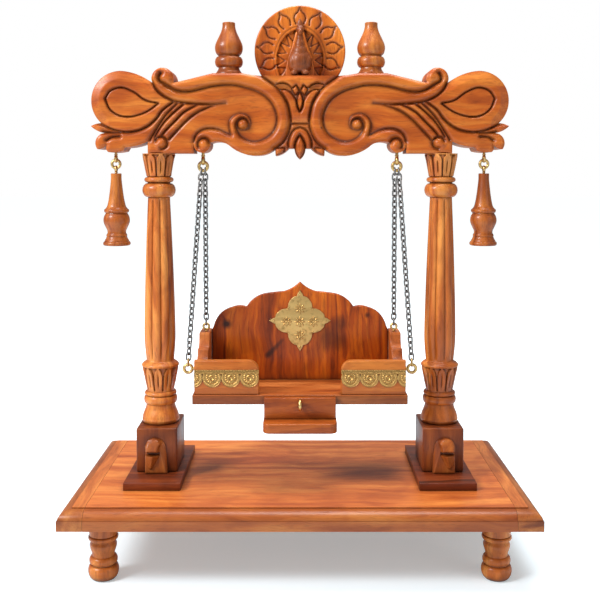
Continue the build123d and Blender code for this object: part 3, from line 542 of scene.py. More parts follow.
# Oiled sheesham: red-brown heartwood and honey bands, close-grained, with a soft wax gloss.
BEAM_WOOD = wood("sheesham_carved_beam", "X", "#8D3908", "#B75612", "#D67C2C", knots=(
    ((-0.0373, BEAM_FRONT * MM + 0.003, (UNDERSIDE + 67.7) * MM), 0.0024, 0.95),
    ((0.0227, BEAM_FRONT * MM + 0.002, (UNDERSIDE + 27.3) * MM), 0.0020, 0.9)))
PILLAR_WOOD = wood("sheesham_turned_pillar", "Z", "#8C3F10", "#C16623", "#E49244", gloss=0.25)
TURNED_WOOD = wood("sheesham_turned_small", "Z", "#74300C", "#A85418", "#CA7830", gloss=0.25)
DISC_WOOD = wood("sheesham_carved_disc", "Z", "#9D470D", "#CE6B1B", "#ED9034")
BIRD_WOOD = wood("sheesham_bird", "Z", "#4C1E08", "#7C3813", "#A05626", gloss=0.08)
BLOCK_WOOD = wood("sheesham_blocks", "Z", "#4C1C05", "#74320A", "#964C18", shift=(0.05, 0.02, 0))
BRACKET_WOOD = wood("sheesham_bird_heads", "Z", "#6A2E0C", "#9A4C18", "#BC6E2C")
PLATE_WOOD = wood("sheesham_plates_dark", "X", "#441A06", "#6C2A0C", "#8A4018", streaks=0.4)
# The plank's moulding and the seat's front edge are painted darker below these heights, as painted shade.
PLANK_EDGE, SEAT_EDGE = (PLANK_HIGH - 0.6) * MM, (SEAT_TOP - 0.5) * MM
BASE_WOOD = wood("sheesham_base_plank", "X", "#9C481E", "#C66A2E", "#DC8640", rough=0.36, streaks=0.4,
                 edge_top=PLANK_EDGE, knots=(((-0.095, -0.126, 0.051), 0.016, 0.45),
                                             ((-0.088, -0.126, 0.052), 0.010, 0.4)))
CLEAT_WOOD = wood("sheesham_base_cleat", "Y", "#8C421A", "#BE682E", "#DA8842", rough=0.36,
                  edge_top=PLANK_EDGE, knots=(((-0.2290, -0.126, 0.051), 0.013, 0.55),), shift=(0.1, 0, 0))
SEAT_WOOD = wood("sheesham_seat_boards", "X", "#7C3410", "#A85620", "#C8763A", edge_top=SEAT_EDGE)
STEP_WOOD = wood("sheesham_seat_step", "X", "#6C2A08", "#9C480F", "#C06822")
PANEL_WOOD = wood("sheesham_seat_panels", "X", "#8E4010", "#B25C1A", "#CC7A30", streaks=0.35)
SIDE_WOOD = wood("sheesham_seat_sides", "Z", "#863D14", "#B86128", "#D68143")
# The backrest has a knot at each side, a dark patch and a slanting row of small dark marks.
BACK_Y = span("backrest")[0][1] * MM
BACK_MARKS = [((0.0021 * i - 0.0370, BACK_Y, 0.2072 + 0.0022 * i), 0.0046 - 0.0002 * i, 0.75 - 0.04 * i)
              for i in range(9)]
BACK_WOOD = wood("sheesham_seat_back", "Z", "#5E2006", "#A84608", "#D06A12", streaks=0.8, figure_w=0.012,
                 knots=(((-0.0839, BACK_Y, 0.2433), 0.0072, 0.95), ((0.0360, BACK_Y, 0.2270), 0.020, 0.6),
                        ((0.0450, BACK_Y, 0.2440), 0.012, 0.5), ((0.0770, BACK_Y, 0.2535), 0.0042, 0.7),
                        *BACK_MARKS))
# Pressed brass sheet, lightly tarnished; brass wire, a lighter brass all over.
BRASS_SHEET = metal("brass_pressed_sheet", "#DDB572", "#53380F", 0.42, 0.004)
BRASS_LACE = metal("brass_pressed_lace", "#BE975A", "#4A300C", 0.42, 0.004)
BRASS_WIRE = metal("brass_wire", "#D9B677", "#7A5624", 0.34, 0.003)
# Steel chain with an old zinc coat, grey and dull.
CHAIN_STEEL = metal("steel_chain_zinc", "#8C8A88", "#363332", 0.36, 0.002)


# ---------------------------------------------------------------- base
BASE_W, BASE_D = 481.0, 252.0       # the plank over all
CLEAT_W, SEAM = 26.0, 0.15          # a cleat's width, and half the gap beside it
EDGE_FACE = 10.0                    # height of the straight edge under the moulding
EDGE_INSET = 13.0                   # width of the moulding as seen from above
LIP, QUIRK = 0.7, 0.35              # flat on top of the straight edge, and the fine drop behind it
OVOLO_CUTS = 8                      # flats in the moulding's round
FIELD_STEP, FIELD_CUT = 1.1, 0.25   # upright step to the field, and the fine cut at its foot
CORNER_R = 0.7


def moulded_plank():
    """The whole plank: straight edge, ovolo moulding and a fine step up to the field."""
    plank = started(bpy.ops.mesh.primitive_cube_add, size=1)
    plank.data.transform(Matrix.Translation((0, 0, PLANK_LOW + EDGE_FACE / 2))
                         @ Matrix.Diagonal((BASE_W, BASE_D, EDGE_FACE, 1)))
    edit(plank)
    bpy.ops.mesh.select_mode(type="FACE")
    bpy.ops.mesh.select_all(action="DESELECT")
    bpy.ops.object.mode_set(mode="OBJECT")
    for face in plank.data.polygons:
        face.select = face.normal.z > 0.9
    bpy.ops.object.mode_set(mode="EDIT")
    rise = PLANK_HIGH - PLANK_LOW - EDGE_FACE
    bpy.ops.mesh.inset(thickness=LIP, depth=0)
    bpy.ops.mesh.inset(thickness=0.1, depth=-QUIRK)
    before = (0.0, -QUIRK)
    for i in range(1, OVOLO_CUTS + 1):
        a = math.pi / 2 * i / OVOLO_CUTS
        now = ((EDGE_INSET - LIP - 0.8) * (1 - math.cos(a)), (rise - FIELD_STEP) * math.sin(a))
        bpy.ops.mesh.inset(thickness=max(now[0] - before[0], 0.02), depth=now[1] - before[1])
        before = now
    bpy.ops.mesh.inset(thickness=0.5, depth=-FIELD_CUT)
    bpy.ops.mesh.inset(thickness=0.05, depth=FIELD_STEP + FIELD_CUT)
    bpy.ops.mesh.inset(thickness=0.4, depth=0.0)
    close_up()
    return plank


def base():
    """The plank with its mitred corners eased, cut into the main board and two cleats."""
    plank = moulded_plank()
    places = corners(plank)
    inset = np.array((BASE_W, BASE_D)) / 2 - np.abs(places[:, :2])
    mitre = np.abs(inset[:, 0] - inset[:, 1]) < 0.01
    bpy.ops.object.mode_set(mode="EDIT")
    bpy.ops.mesh.select_mode(type="EDGE")
    bpy.ops.mesh.select_all(action="DESELECT")
    bpy.ops.object.mode_set(mode="OBJECT")
    for line in plank.data.edges:
        a, b = line.vertices
        line.select = bool(mitre[a] and mitre[b] and np.all(np.abs(places[a] - places[b]) < BASE_D / 2))
    bpy.ops.object.mode_set(mode="EDIT")
    bpy.ops.mesh.bevel(offset=CORNER_R, segments=2, affect="EDGES")
    close_up()
    cut = BASE_W / 2 - CLEAT_W
    pieces = {"base_board": ((-cut + SEAM, 1), (cut - SEAM, -1)),
              "base_cleat_left": ((-cut - SEAM, -1),), "base_cleat_right": ((cut + SEAM, 1),)}
    for name, cuts in pieces.items():
        part = copied(plank)
        for x, keep in cuts:
            edit(part)
            bpy.ops.mesh.bisect(plane_co=(x, 0, 0), plane_no=(1, 0, 0), use_fill=True,
                                clear_inner=keep > 0, clear_outer=keep < 0)
            close_up()
        finish = BASE_WOOD if name == "base_board" else CLEAT_WOOD
        fit(part, name + "_wood", finish, "frame", [name])
    bpy.data.objects.remove(plank)


FOOT_H = 62.9


def feet():
    """Four turned feet: ball, ring, waisted bulb and top ring."""
    line = profile((0, 0), ("to", 10.4, 0), ("bead", 12.2, 15.2, 4.2), ("to", 12.1, 16.0),
                   ("bead", 11.4, 24.2, 2.6), ("to", 11.3, 25.0), ("ease", 13.7, 35.6), ("ease", 12.3, 40.2),
                   ("bead", 13.4, 45.6, 2.4), ("to", 14.2, 46.0), ("to", 14.2, FOOT_H), ("to", 0, FOOT_H))
    for row in ("front", "rear"):
        for side in SIDES:
            name = f"foot_{row}_{side}"
            x, y, _ = middle(name)
            fit(lathe(line, x, y), name + "_turned", PILLAR_WOOD, "frame", [name])


# ---------------------------------------------------------------- plates, blocks and brackets
PLATE_LIFT, BLOCK_LIFT = 0.02, 0.05     # hair's breadth under a plate and a block, whose tenons aren't drawn
PLATE_EASE, BLOCK_EASE = 0.5, 1.8


def plinths():
    """Plate and block under each pillar."""
    for side in SIDES:
        plate = "plinth_plate_" + side
        low, high = span(plate)
        low[2] = PLANK_HIGH + PLATE_LIFT
        fit(planed(low, high, PLATE_EASE), plate + "_wood", PLATE_WOOD, "frame", [plate])
        block = "pillar_block_" + side
        low, high = span(block)
        low[2] = PLATE_TOP + BLOCK_LIFT
        fit(planed(low, high, BLOCK_EASE), block + "_wood", BLOCK_WOOD, "frame", [block])


# The right-hand bird in millimetres, from the middle of its slab's foot.
SLAB = run((-12.0, 0.3), [(-10.8, 19.4), (-9.7, 26.0), (-7.6, 33.4, -1.6, 36.8), (5.0, 37.6, 9.4, 35.2),
                          (11.3, 31.0, 11.6, 26.0), (12.0, 0.3)])
HOOD = [(-3.0, 23.8), (11.3, 23.8), (11.5, 30.0), (9.4, 34.9), (4.0, 36.9), (-2.0, 36.5), (-5.2, 33.4),
        (-3.4, 29.0)]
BEAK = [(-3.4, 20.6), (11.2, 20.6), (11.6, 14.0), (6.8, 5.6), (4.2, 6.4)]
HEAD_DEPTH = 12.6                   # highest level of the carving, at the root of the beak
SLAB_LEVEL, BEVEL_DROP = 6.4, 4.4   # the plain slab, and how far its bevel falls
UNDERCUT_LEVEL = 4.4                # the hollow between the hood and the beak
HOOD_LEVEL, HOOD_RISE = 6.2, 5.2    # the hood's rim, and how far it swells towards the brow
BEAK_SIDE, BEAK_TIP, BEAK_RISE = 6.6, 8.4, 4.2      # its side, its ridge at the tip, the rise to the root
BIRD_CELL = 0.4                     # spacing of the carving's mesh


def bird_relief(spots):
    """Depth of the head over the block: hooded brow, undercut, ridged beak and a bevel on one side."""
    u, v = spots.T
    bevel = np.interp(v, [0, 19.4, 29, 37], [-10.6, -6.0, -2.6, -1.0])
    level = SLAB_LEVEL - BEVEL_DROP * np.clip((bevel - u) / 5.0, 0, 1)
    level[(v > 19.8) & (v < 23.8) & (u > -3.4)] = UNDERCUT_LEVEL
    here = within(spots, HOOD)
    rim = quarter_round(distance(spots[here], HOOD + HOOD[:1]) / 3.0)
    level[here] = HOOD_LEVEL + (1.0 + HOOD_RISE * np.clip((36.5 - v[here]) / 11, 0, 1)) * rim
    here = within(spots, BEAK)
    keel = np.interp(v, [6, 20.6], [5.8, 2.6])
    fall = np.where(u < keel, 0.75, 0.5) * np.abs(u - keel)
    level[here] = np.maximum(BEAK_SIDE, BEAK_TIP + BEAK_RISE * np.clip((v - 5) / 15, 0, 1) - fall)[here]
    edge = distance(spots, SLAB + SLAB[:1])
    return np.maximum(level - 1.3 * (1 - quarter_round(edge / 1.4)), 0.6)


def brackets():
    """A bird's head carved on a small slab on the front of each block, the left one mirrored."""
    panel, u, v, order, shape = relief_panel(-13.0, 13.0, -0.6, 38.4, BIRD_CELL)
    level = np.empty(len(u))
    spots = np.column_stack((u, v))[order]
    level[order] = blurred(bird_relief(spots).reshape(shape), 0.7).ravel()
    front, back = span("bird_bracket_right")[0][1], span("pillar_block_right")[0][1]
    level *= (back - front) / HEAD_DEPTH
    set_corners(panel, np.column_stack((u, back - level, v)))
    backed(panel, back + 2)
    trimmed(panel, sawn(SLAB, back - 20, back + 0.5, 0.2))
    other = copied(panel, flip=True)
    for side, head in (("right", panel), ("left", other)):
        name = "bird_bracket_" + side
        head.data.transform(Matrix.Translation((middle(name)[0], 0, PLATE_TOP)))
        fit(head, name + "_carved", BRACKET_WOOD, "frame", [name])


# ---------------------------------------------------------------- pillars
# Heights over the block, radii and counts of the leaf cup, the reeded shaft and the leaf capital.
CUP_LOW, CUP_LEAF_TOP, CUP_R, CUP_LEAVES = 36.2, 62.6, 15.0, 10
CUP_H, CUP_FLARE = 26.6, 4.9
SHAFT_LOW, SHAFT_HIGH, SHAFT_R, REEDS = 69.6, 249.6, 15.4, 9
SWELL, SWELL_AT, TAPER = 2.0, 0.16, 5.2     # the shaft swells by this up to this share, then tapers
REED_DEPTH, FULL_R = 3.4, 17.0              # depth between two reeds where the radius is full
CAP_LOW, CAP_LEAF_TOP, CAP_R, CAP_LEAVES = 273.0, 297.0, 13.6, 9
CAP_H, CAP_FLARE = 24.9, 4.4
LEAF_SHARE = 0.9                            # part of its room round the axis that a leaf fills
LEAF_GROUND, LEAF_EDGE = -2.4, 1.4          # level between the leaves, and the drop at a leaf's edge
LEAF_RIM, LEAF_RIB = 0.6, -1.9              # raised rim and cut midrib
FLARE_CUTS, SHAFT_CUTS, PILLAR_STEPS = 30, 90, 162


def across(angle, count, turn):
    """Place across each repeat round the axis, from -1 to 1."""
    return 2 * (((angle - math.radians(turn)) * count / (2 * math.pi)) % 1.0) - 1


def leaf_ring(radius, angle, height, low, high, count, turn, tip):
    """Upright leaves with a raised rim and a cut midrib; tip is the share of them that narrows."""
    u = np.abs(across(angle, count, turn))
    v = np.clip((height - low) / (high - low), 0, 1)
    narrowing = np.sqrt(np.clip(1 - ((v - (1 - tip)) / tip) ** 2, 0, 1))
    inset = np.where(v < 1 - tip, LEAF_SHARE, LEAF_SHARE * narrowing) - u
    rim = LEAF_RIM * ridge(inset - 0.16, 0.12) * np.clip(v * 3, 0, 1)
    rib = LEAF_RIB * ridge(u, 0.13) * np.clip((0.82 - v) * 5, 0, 1) * np.clip(v * 5 - 0.4, 0, 1)
    leaf = quarter_round(inset / 0.3) * LEAF_EDGE - LEAF_EDGE + rim + rib
    change = np.where(inset > 0, leaf, LEAF_GROUND)
    inside = (height > low) & (height < high + 0.02)
    return np.where(inside, radius + change, radius)


def pillar_shape(radius, angle, height):
    """Reeds on the shaft, leaves on the cup and on the capital."""
    z = height - BLOCK_TOP
    u = across(angle, REEDS, 3)
    fade = np.clip((z - 69.5) / 9, 0, 1) ** 0.5 * np.clip((250.5 - z) / 5, 0, 1) ** 0.5
    depth = REED_DEPTH * fade * (radius / FULL_R)
    reeded = radius - depth * (1 - np.sqrt(np.clip(1 - u ** 2, 0, 1)))
    radius = np.where((z > SHAFT_LOW) & (z < SHAFT_HIGH), reeded, radius)
    radius = leaf_ring(radius, angle, z, CUP_LOW, CUP_LEAF_TOP, CUP_LEAVES, 0, 0.55)
    return leaf_ring(radius, angle, z, CAP_LOW, CAP_LEAF_TOP, CAP_LEAVES, 27, 0.32)


def flare(low, height, radius, spread, bend):
    """The side of a cup that widens towards its top."""
    shares = [i / FLARE_CUTS for i in range(1, FLARE_CUTS + 1)]
    return [(radius + spread * t ** bend, low + height * t) for t in shares]


def pillars():
    """Two turned pillars with reeded shafts between a leaf cup and a leaf capital."""
    line = profile((0, 0.05), ("to", 19.0, 0.05), ("bead", 20.2, 5.0, 0.7), ("ease", 16.0, 20.4),
                   ("to", 15.8, 21.0), ("bead", 15.8, 30.6, 2.7), ("bead", 15.0, 35.4, 2.3),
                   ("to", CUP_R, CUP_LOW))
    line += flare(CUP_LOW, CUP_H, CUP_R, CUP_FLARE, 1.1)
    line += profile(line[-1], ("bead", 19.4, 66.0, 1.0), ("ease", SHAFT_R, SHAFT_LOW))[1:]
    for i in range(1, SHAFT_CUTS + 1):
        t = i / SHAFT_CUTS
        swell = SHAFT_R + SWELL * math.sin(min(t / SWELL_AT, 1) * math.pi / 2)
        taper = TAPER * max(0.0, (t - SWELL_AT) / (1 - SWELL_AT)) ** 1.35
        line.append((swell - taper, SHAFT_LOW + (SHAFT_HIGH - SHAFT_LOW) * t))
    line += profile(line[-1], ("to", 12.0, 250.0), ("bead", 12.2, 265.6, 6.1), ("to", 12.4, 266.2),
                    ("bead", 12.4, 272.4, 3.6), ("to", 13.4, CAP_LOW))[1:]
    line += flare(CAP_LOW, CAP_H, CAP_R, CAP_FLARE, 1.2)
    line.append((0, CAP_LOW + CAP_H))
    line = [(r, z + BLOCK_TOP) for r, z in line]
    shaft = lathe(line, steps=PILLAR_STEPS)
    carved_round(shaft, pillar_shape)
    for side, s in SIDES.items():
        name = "pillar_" + side
        fit(copied(shaft, (s * PILLAR_X, 0, 0)), name + "_turned", PILLAR_WOOD, "frame",
            [name], angle=50)
    bpy.data.objects.remove(shaft)


# ---------------------------------------------------------------- crest beam
# Lines cut in the right half of the beam, as (x, height over the underside).
VALLEY = [(144.9, 73), (136.1, 68.4), (126.9, 66), (116.5, 66.7), (106.2, 69.2), (94.9, 71.8), (81.5, 73.2),
          (69.1, 72.8), (58.8, 70.4), (48.6, 67.4), (38.2, 61.8), (31, 54.6), (26.4, 45.4), (24.9, 36.2),
          (26.9, 27), (32.1, 19.8), (40.3, 14.6), (48.6, 12.6), (56.8, 14.1), (64, 18.7), (67.6, 23.9)]
TOP_EDGE = [(144.9, 75), (137.1, 75.9), (124.8, 77.6), (115.6, 80.7), (104.1, 84.4), (90.8, 86.4), (63, 86.4),
            (48.6, 84.4), (42.3, 83.4)]
VOLUTE = [(42.3, 83.4), (27.9, 73.5), (19.7, 64.9), (13.5, 54.6), (10.4, 42.3), (9.9, 33.1), (12.5, 21.8),
          (17.7, 12.6), (26.9, 4.4)]
LOW_EDGE = [(26.9, 4.4), (33.1, 1.4), (43.4, -2), (53.7, -2), (63, 0.3), (71.2, 4.9), (79.5, 10),
            (89.7, 12.8), (100.1, 13.6)]
CHAIN_SCROLL = [(75.3, 20.3), (79.5, 21.8), (87.7, 25.4), (98, 26.7), (106.2, 24.9), (112.4, 19.8),
                (115.2, 12.6)]
ARM_OUTER = [(75.3, 20.3), (76.9, 32.1), (74.3, 38.2), (69.1, 42.1), (63, 43.1), (55.8, 40.2), (53.2, 33.1),
             (55.2, 26.9), (60.4, 25.2)]
ARM_INNER = [(67.6, 23.9), (69.3, 29.5), (67.6, 35.4), (62.6, 38.2), (57.2, 36.2), (55.2, 31.4), (56.4, 27.2),
             (60.4, 25.2)]
STEM_LOW = [(158.8, 76.1), (154.7, 67.9), (146.4, 60.7), (136.1, 56.1), (125.8, 54.1), (110.4, 52.8),
            (94.9, 52.6), (79.9, 54.1)]
LOBE_LOW = [(136.9, 55.3), (148.5, 46.7), (155.5, 37.3), (164.9, 29.2), (175.3, 24.6), (187.1, 22.9),
            (198.7, 24.6), (209.3, 28.7), (217.4, 32.7)]
FLUTES = [
    [(131.7, 54.2), (143.9, 42.1), (150.9, 32.7), (156.7, 23.4), (162.5, 14.1)],
    [(125.1, 53.1), (135.7, 44.3), (145.1, 35.1), (152.1, 25.8), (156.7, 17.6)],
    [(111.1, 51.9), (125.1, 44.3), (134.5, 35.1), (143.9, 25.8), (150.9, 17.6)],
    [(92.5, 51.9), (108.8, 45.5), (120.5, 37.3), (132.1, 25.8), (142.7, 14.1)],
]
CURL = [(136.1, 68.4), (140.6, 71.4), (146.0, 74.6), (151.0, 77.4), (152.4, 82.0), (150.0, 86.6)]
LEAF_CUTS = [[(212.2, 22.9), (203, 22.0), (194, 22.4)], [(209.3, 14.1), (203.5, 17.2), (195, 18.0)]]
TEAR_UP = [(152.9, 53.6), (166.9, 56.9), (178.6, 65.2), (192.0, 70.4), (204.0, 67.2), (210.1, 58.9)]
TEAR_DOWN = [(210.1, 58.9), (205.4, 47.8), (196.0, 40.9), (184.4, 39.2), (171.6, 42.1), (162.2, 46.7),
             (152.9, 53.6)]
LOTUS_TOP = [(22.0, 68.1), (16.2, 68.8), (10.2, 65.8), (5.7, 60.5), (3.6, 56.0), (2.6, 49.9), (0, 44.7)]
LOTUS_SIDE = [(9.9, 31.8), (10.6, 42.3), (13.7, 54.6), (19.7, 64.9)]
LOTUS_FOOT = [(0, 31.8), (9.9, 31.8)]
LENS_EDGE = [(0, 44.9), (1.9, 49.5), (3.2, 55.8), (2.3, 61.6), (0, 65.8)]
BUD = [(3.8, 73.3), (8.7, 69.0), (5.0, 62.0), (1.0, 66.9)]
LEDGE_UP = [(29.0, 73.6), (25.3, 75.2), (22.3, 78.0), (18.6, 80.2), (12.0, 81.2), (5.0, 81.6), (0, 81.7)]
LEDGE_LOW = [(27.0, 73.2), (23.0, 74.9), (18.0, 75.4), (13.2, 73.8), (9.6, 70.6)]
RECESS = [(26.0, 73.4), (22.0, 74.8), (18.0, 75.0), (13.2, 73.4), (9.2, 69.8), (8.6, 67.2), (10.2, 66.4),
          (16.2, 69.4), (22.2, 68.8)]
ARCH = [(12.6, 5.4), (12.3, 13.0), (9.6, 20.8), (5.7, 25.6), (0, 27.9)]
DROP_EDGE = [(0, 20.1), (3.2, 15.6), (5.5, 9.5), (5.2, 3.6), (3.2, -1.6), (0, -6.4)]
SIDE_LEAF = [(27.2, 5.0), (15.8, 5.4), (18.8, 0.6), (26.6, -2.8)]
SILHOUETTE = run((-2, -LEAF_TIP), [
    (0, -LEAF_TIP), (5.0, 0.0, 6.0, 5.4), (12.2, 5.4), (19.5, -0.5, 26.4, -2.7), (26.9, 4.8),
    (34, 0.2, 45, -2.3), (60, -0.8, 75, 7.0), (86, 12.4, 97.4, 11.2), (106.6, 0.6, 115.2, 9.0),
    (115.2, 0), (164.9, 0), (164.9, 12.6), (177, 8.2, 189.6, 6.4), (191.8, 2.6),
    (200.0, 1.2, 207.6, 1.2), (209.6, 4.4, 208.8, 9.4), (213.6, 5.6, 219.2, 4.4), (221.0, 13.4, 211.5, 21.8),
    (219.0, 24.2, 226.0, 29.2), (220.4, 31.8, 215.2, 32.6),
    (225.6, 56.2, 193.1, 88.7), (175, 84.6, 159.4, 75.6), (148, 92, 137, 75.6),
    (116, 80.6, 94, 86.0), (62, 86.0), (53, 84.2, 44, 83.4), (-2, 83.4)])
LOOP_X, LOOP_Z, LOOP_R = 193.1, 56.2, 32.5      # the loop at the beam's end
EYE_X, EYE_Z, EYE_R = 57.0, 34.0, 10.0          # the scroll's eye
EYE_BOSS = (61.9, 31.2, 6.1)                    # round bosses: x, height and radius
BOSSES = (EYE_BOSS, (145.4, 81.6, 6.8), (150.2, 11.2, 6.5), (104.1, 9.6, 6.5))
LOTUS_LOW, LOTUS_MID, LOTUS_HALF = 31.8, 44.7, 10.4
LOTUS_SLOPE = 2.6           # how far the lotus falls back towards its foot
RECESS_SHADOW = 0.5          # painted shadow in the hollow between the ledge and the lotus, under the ledge's overhang
GROUND = 3.6                # level of the plain field between the carved forms
GROUND_ROUND = 4.4          # how far from a cut the field is rounded
BOWL, BOWL_R = 3.0, 48.0    # how far the field dips round the scroll's eye, and out to where
FLOOR = 0.2                 # level at the bottom of a cut
CELL = 0.8                  # spacing of the carving's mesh
BLEND = 2                   # the form that runs out level into the field, in the order below


def crest_forms():
    """Outline, level and edge rounding of each raised form on the right half."""
    valley, top, volute = flowing(VALLEY), flowing(TOP_EDGE), flowing(VOLUTE)
    low, chain = flowing(LOW_EDGE), flowing(CHAIN_SCROLL)
    lobe_low, stem = flowing(LOBE_LOW), flowing(STEM_LOW)
    flutes = [flowing(line) for line in FLUTES]
    outer_ring = circle(LOOP_X, LOOP_Z, LOOP_R, -45, 100)
    leaf_end = [(228, 30), (228, 0), (191.2, 0), (178.9, 7.6), (164.9, 12.6)]
    forms = [
        (top + volute + low + chain[::-1] + valley[::-1], 5.8, 6.5),
        (flowing(ARM_OUTER) + flowing(ARM_INNER)[::-1], 5.2, 3.2),
        (valley[:40] + [(79.9, 66), (79.9, 54.1)] + stem[::-1]
         + [(159.6, 82), (157, 89), (150, 93), (144, 92), (140, 84)], 5.4, 5.5),
        (lobe_low + outer_ring + [(181.3, 86.7), (171.9, 82.7), (162.5, 76.9)] + stem[:19], 5.0, 2.4),
        (lobe_low + leaf_end + flutes[0][::-1], 5.0, 5.0),
    ]
    forms += [(upper + under[::-1], 4.9, 3.1) for upper, under in zip(flutes, flutes[1:])]
    forms += [
        (flowing(TEAR_UP) + flowing(TEAR_DOWN), 3.9, 1.4),
        (flowing(LEDGE_UP) + [(-1, 81.7), (-1, 70.6)] + flowing(LEDGE_LOW)[::-1], 5.2, 2.0),
        (RECESS, 1.6, 1.2),
        (flowing(LOTUS_TOP) + [(-1, LOTUS_MID), (-1, LOTUS_LOW)] + flowing(LOTUS_SIDE), 5.2, 2.6),
        (BUD, 5.2, 1.0),
        (flowing(LENS_EDGE) + [(-1, 65.8), (-1, 44.9)], 5.8, 1.4),
        (flowing(ARCH) + [(-1, 27.9), (-1, 5.4)], 4.9, 3.0),
        (flowing(DROP_EDGE) + [(-1, -6.4), (-1, 20.1)], 5.9, 4.2),
        (SIDE_LEAF, 5.4, 0.8),
    ]
    return forms + [(circle(x, z, r), 6.0, r) for x, z, r in BOSSES]


def crest_cuts():
    """Every line that is cut between the forms."""
    soft_lines = [VALLEY, VOLUTE, CHAIN_SCROLL, ARM_OUTER, ARM_INNER, STEM_LOW, LOBE_LOW, TEAR_UP, TEAR_DOWN,
                  LOTUS_TOP, LENS_EDGE, ARCH, DROP_EDGE, LEDGE_LOW, CURL, *FLUTES, *LEAF_CUTS]
    cuts = [flowing(line) for line in soft_lines]
    cuts += [BUD + BUD[:1], SIDE_LEAF + SIDE_LEAF[:1], LOTUS_FOOT]
    for (x, z, r), first, last in zip(BOSSES[2:], (20, -30), (270, 165)):
        cuts.append(circle(x, z, r + 0.2, first, last))
    x, z, r = EYE_BOSS
    cuts.append(circle(x, z, r + 0.2))
    return cuts


def crest_relief(spots, shape):
    """Height of the carving over the sunk ground, and its painted darkening near the cuts."""
    x, z = spots.T
    dip = np.clip(1 - (np.hypot(x - EYE_X, z - EYE_Z) - EYE_R) / (BOWL_R - EYE_R), 0, 1)
    level = GROUND - BOWL * dip * dip * (3 - 2 * dip)
    ground = level.copy()
    round_by = np.full(len(spots), GROUND_ROUND)
    for i, (outline, height, rounding) in enumerate(crest_forms()):
        here = within(spots, outline)
        level[here] = height
        if i == BLEND:
            share = np.clip((x[here] - 72) / 60, 0, 1)
            level[here] = ground[here] + (height - ground[here]) * share
        round_by[here] = rounding
    foot = (np.abs(x) < LOTUS_HALF) & (z > LOTUS_LOW) & (z < LOTUS_MID)
    level[foot] -= LOTUS_SLOPE * np.clip((39.5 - z[foot]) / 6, 0, 1)
    level = blurred(level.reshape(shape), 1.7).ravel()
    gap = np.full(len(spots), FAR)
    for line in crest_cuts():
        gap = np.minimum(gap, distance(spots, line))
    edge = distance(spots, SILHOUETTE[1:-1])
    loop = (np.hypot(x - LOOP_X, z - LOOP_Z) < 40) & (z > 30)
    soft = 0.42 + 0.58 * quarter_round(edge / 4.8)
    chamfer = 0.34 + 0.66 * np.clip(edge / 9.0, 0, 1)
    height = FLOOR + (level - FLOOR) * gouged(gap / round_by)
    height *= np.where(loop, chamfer, soft)
    # Painted into the cuts: a narrow dark line of held stain, and a wider band of painted shade down each
    # cut's sides.
    spread = np.clip(round_by * 0.8, 0.8, 3.2)
    groove = 0.5 * ridge(gap, np.minimum(1.15, spread)) + 0.42 * ridge(gap, spread)
    groove = np.maximum(groove, np.where(within(spots, RECESS), RECESS_SHADOW, 0.0))
    height = blurred(height.reshape(shape), 0.6).ravel()
    return np.clip(height, 0.1, RELIEF - 0.05), np.clip(groove, 0, 1)


def relief_panel(low_x, high_x, low_z, high_z, cell):
    """A grid, its vertices' upright places and their order by rows, and its count of rows and columns."""
    panel = started(bpy.ops.mesh.primitive_grid_add, size=1, x_subdivisions=round((high_x - low_x) / cell),
                    y_subdivisions=round((high_z - low_z) / cell))
    places = corners(panel)
    x = low_x + (places[:, 0] + 0.5) * (high_x - low_x)
    z = low_z + (places[:, 1] + 0.5) * (high_z - low_z)
    order = np.lexsort((np.round(x, 4), np.round(z, 4)))
    shape = (len(np.unique(np.round(z, 4))), len(np.unique(np.round(x, 4))))
    return panel, x, z, order, shape


def backed(panel, depth):
    """Draws the panel's rim back to a plane and closes it there."""
    edit(panel)
    bpy.ops.mesh.region_to_loop()
    bpy.ops.mesh.extrude_region_move(TRANSFORM_OT_translate={"value": (0, 100, 0)})
    bpy.ops.mesh.edge_face_add()
    bpy.ops.object.mode_set(mode="OBJECT")
    places = corners(panel)
    places[places[:, 1] > 50, 1] = depth
    set_corners(panel, places)


def trimmed(panel, outline):
    """Cuts a carved panel to a sawn outline, which is used up."""
    apply_modifier(panel, "BOOLEAN", operation="INTERSECT", solver="EXACT", object=outline)
    bpy.data.objects.remove(outline)


def mark_groove(panel, values):
    """Keeps the painted darkening near the cuts, held stain and painted shade, for the finish."""
    layer = panel.data.attributes.new("groove", "FLOAT", "POINT")
    layer.data.foreach_set("value", np.asarray(values, np.float32))


def crest_beam():
    """The beam: a carved front cut to the outline, the right half mirrored to the left."""
    panel, x, z, order, shape = relief_panel(-1.6, 228.0, -8.0, 94.4, CELL)
    height = np.empty(len(x))
    groove = np.empty(len(x))
    height[order], groove[order] = crest_relief(np.column_stack((x, z))[order], shape)
    ground = BEAM_FRONT + RELIEF
    set_corners(panel, np.column_stack((x, ground - height, z)))
    mark_groove(panel, groove)
    backed(panel, BEAM_BACK + 1)
    trimmed(panel, sawn(SILHOUETTE, BEAM_FRONT - 4, BEAM_BACK, 0.6))
    apply_modifier(panel, "MIRROR", use_axis=(True, False, False), use_bisect_axis=(True, False, False),
                   merge_threshold=0.01)
    panel.data.transform(Matrix.Translation((0, 0, UNDERSIDE)))
    fit(panel, "crest_beam_carved", BEAM_WOOD, "frame", ["crest_beam"], angle=38)


# ---------------------------------------------------------------- finials, disc and peacock
FINIAL_RISE = 2.6           # a finial's foot over the beam's outline


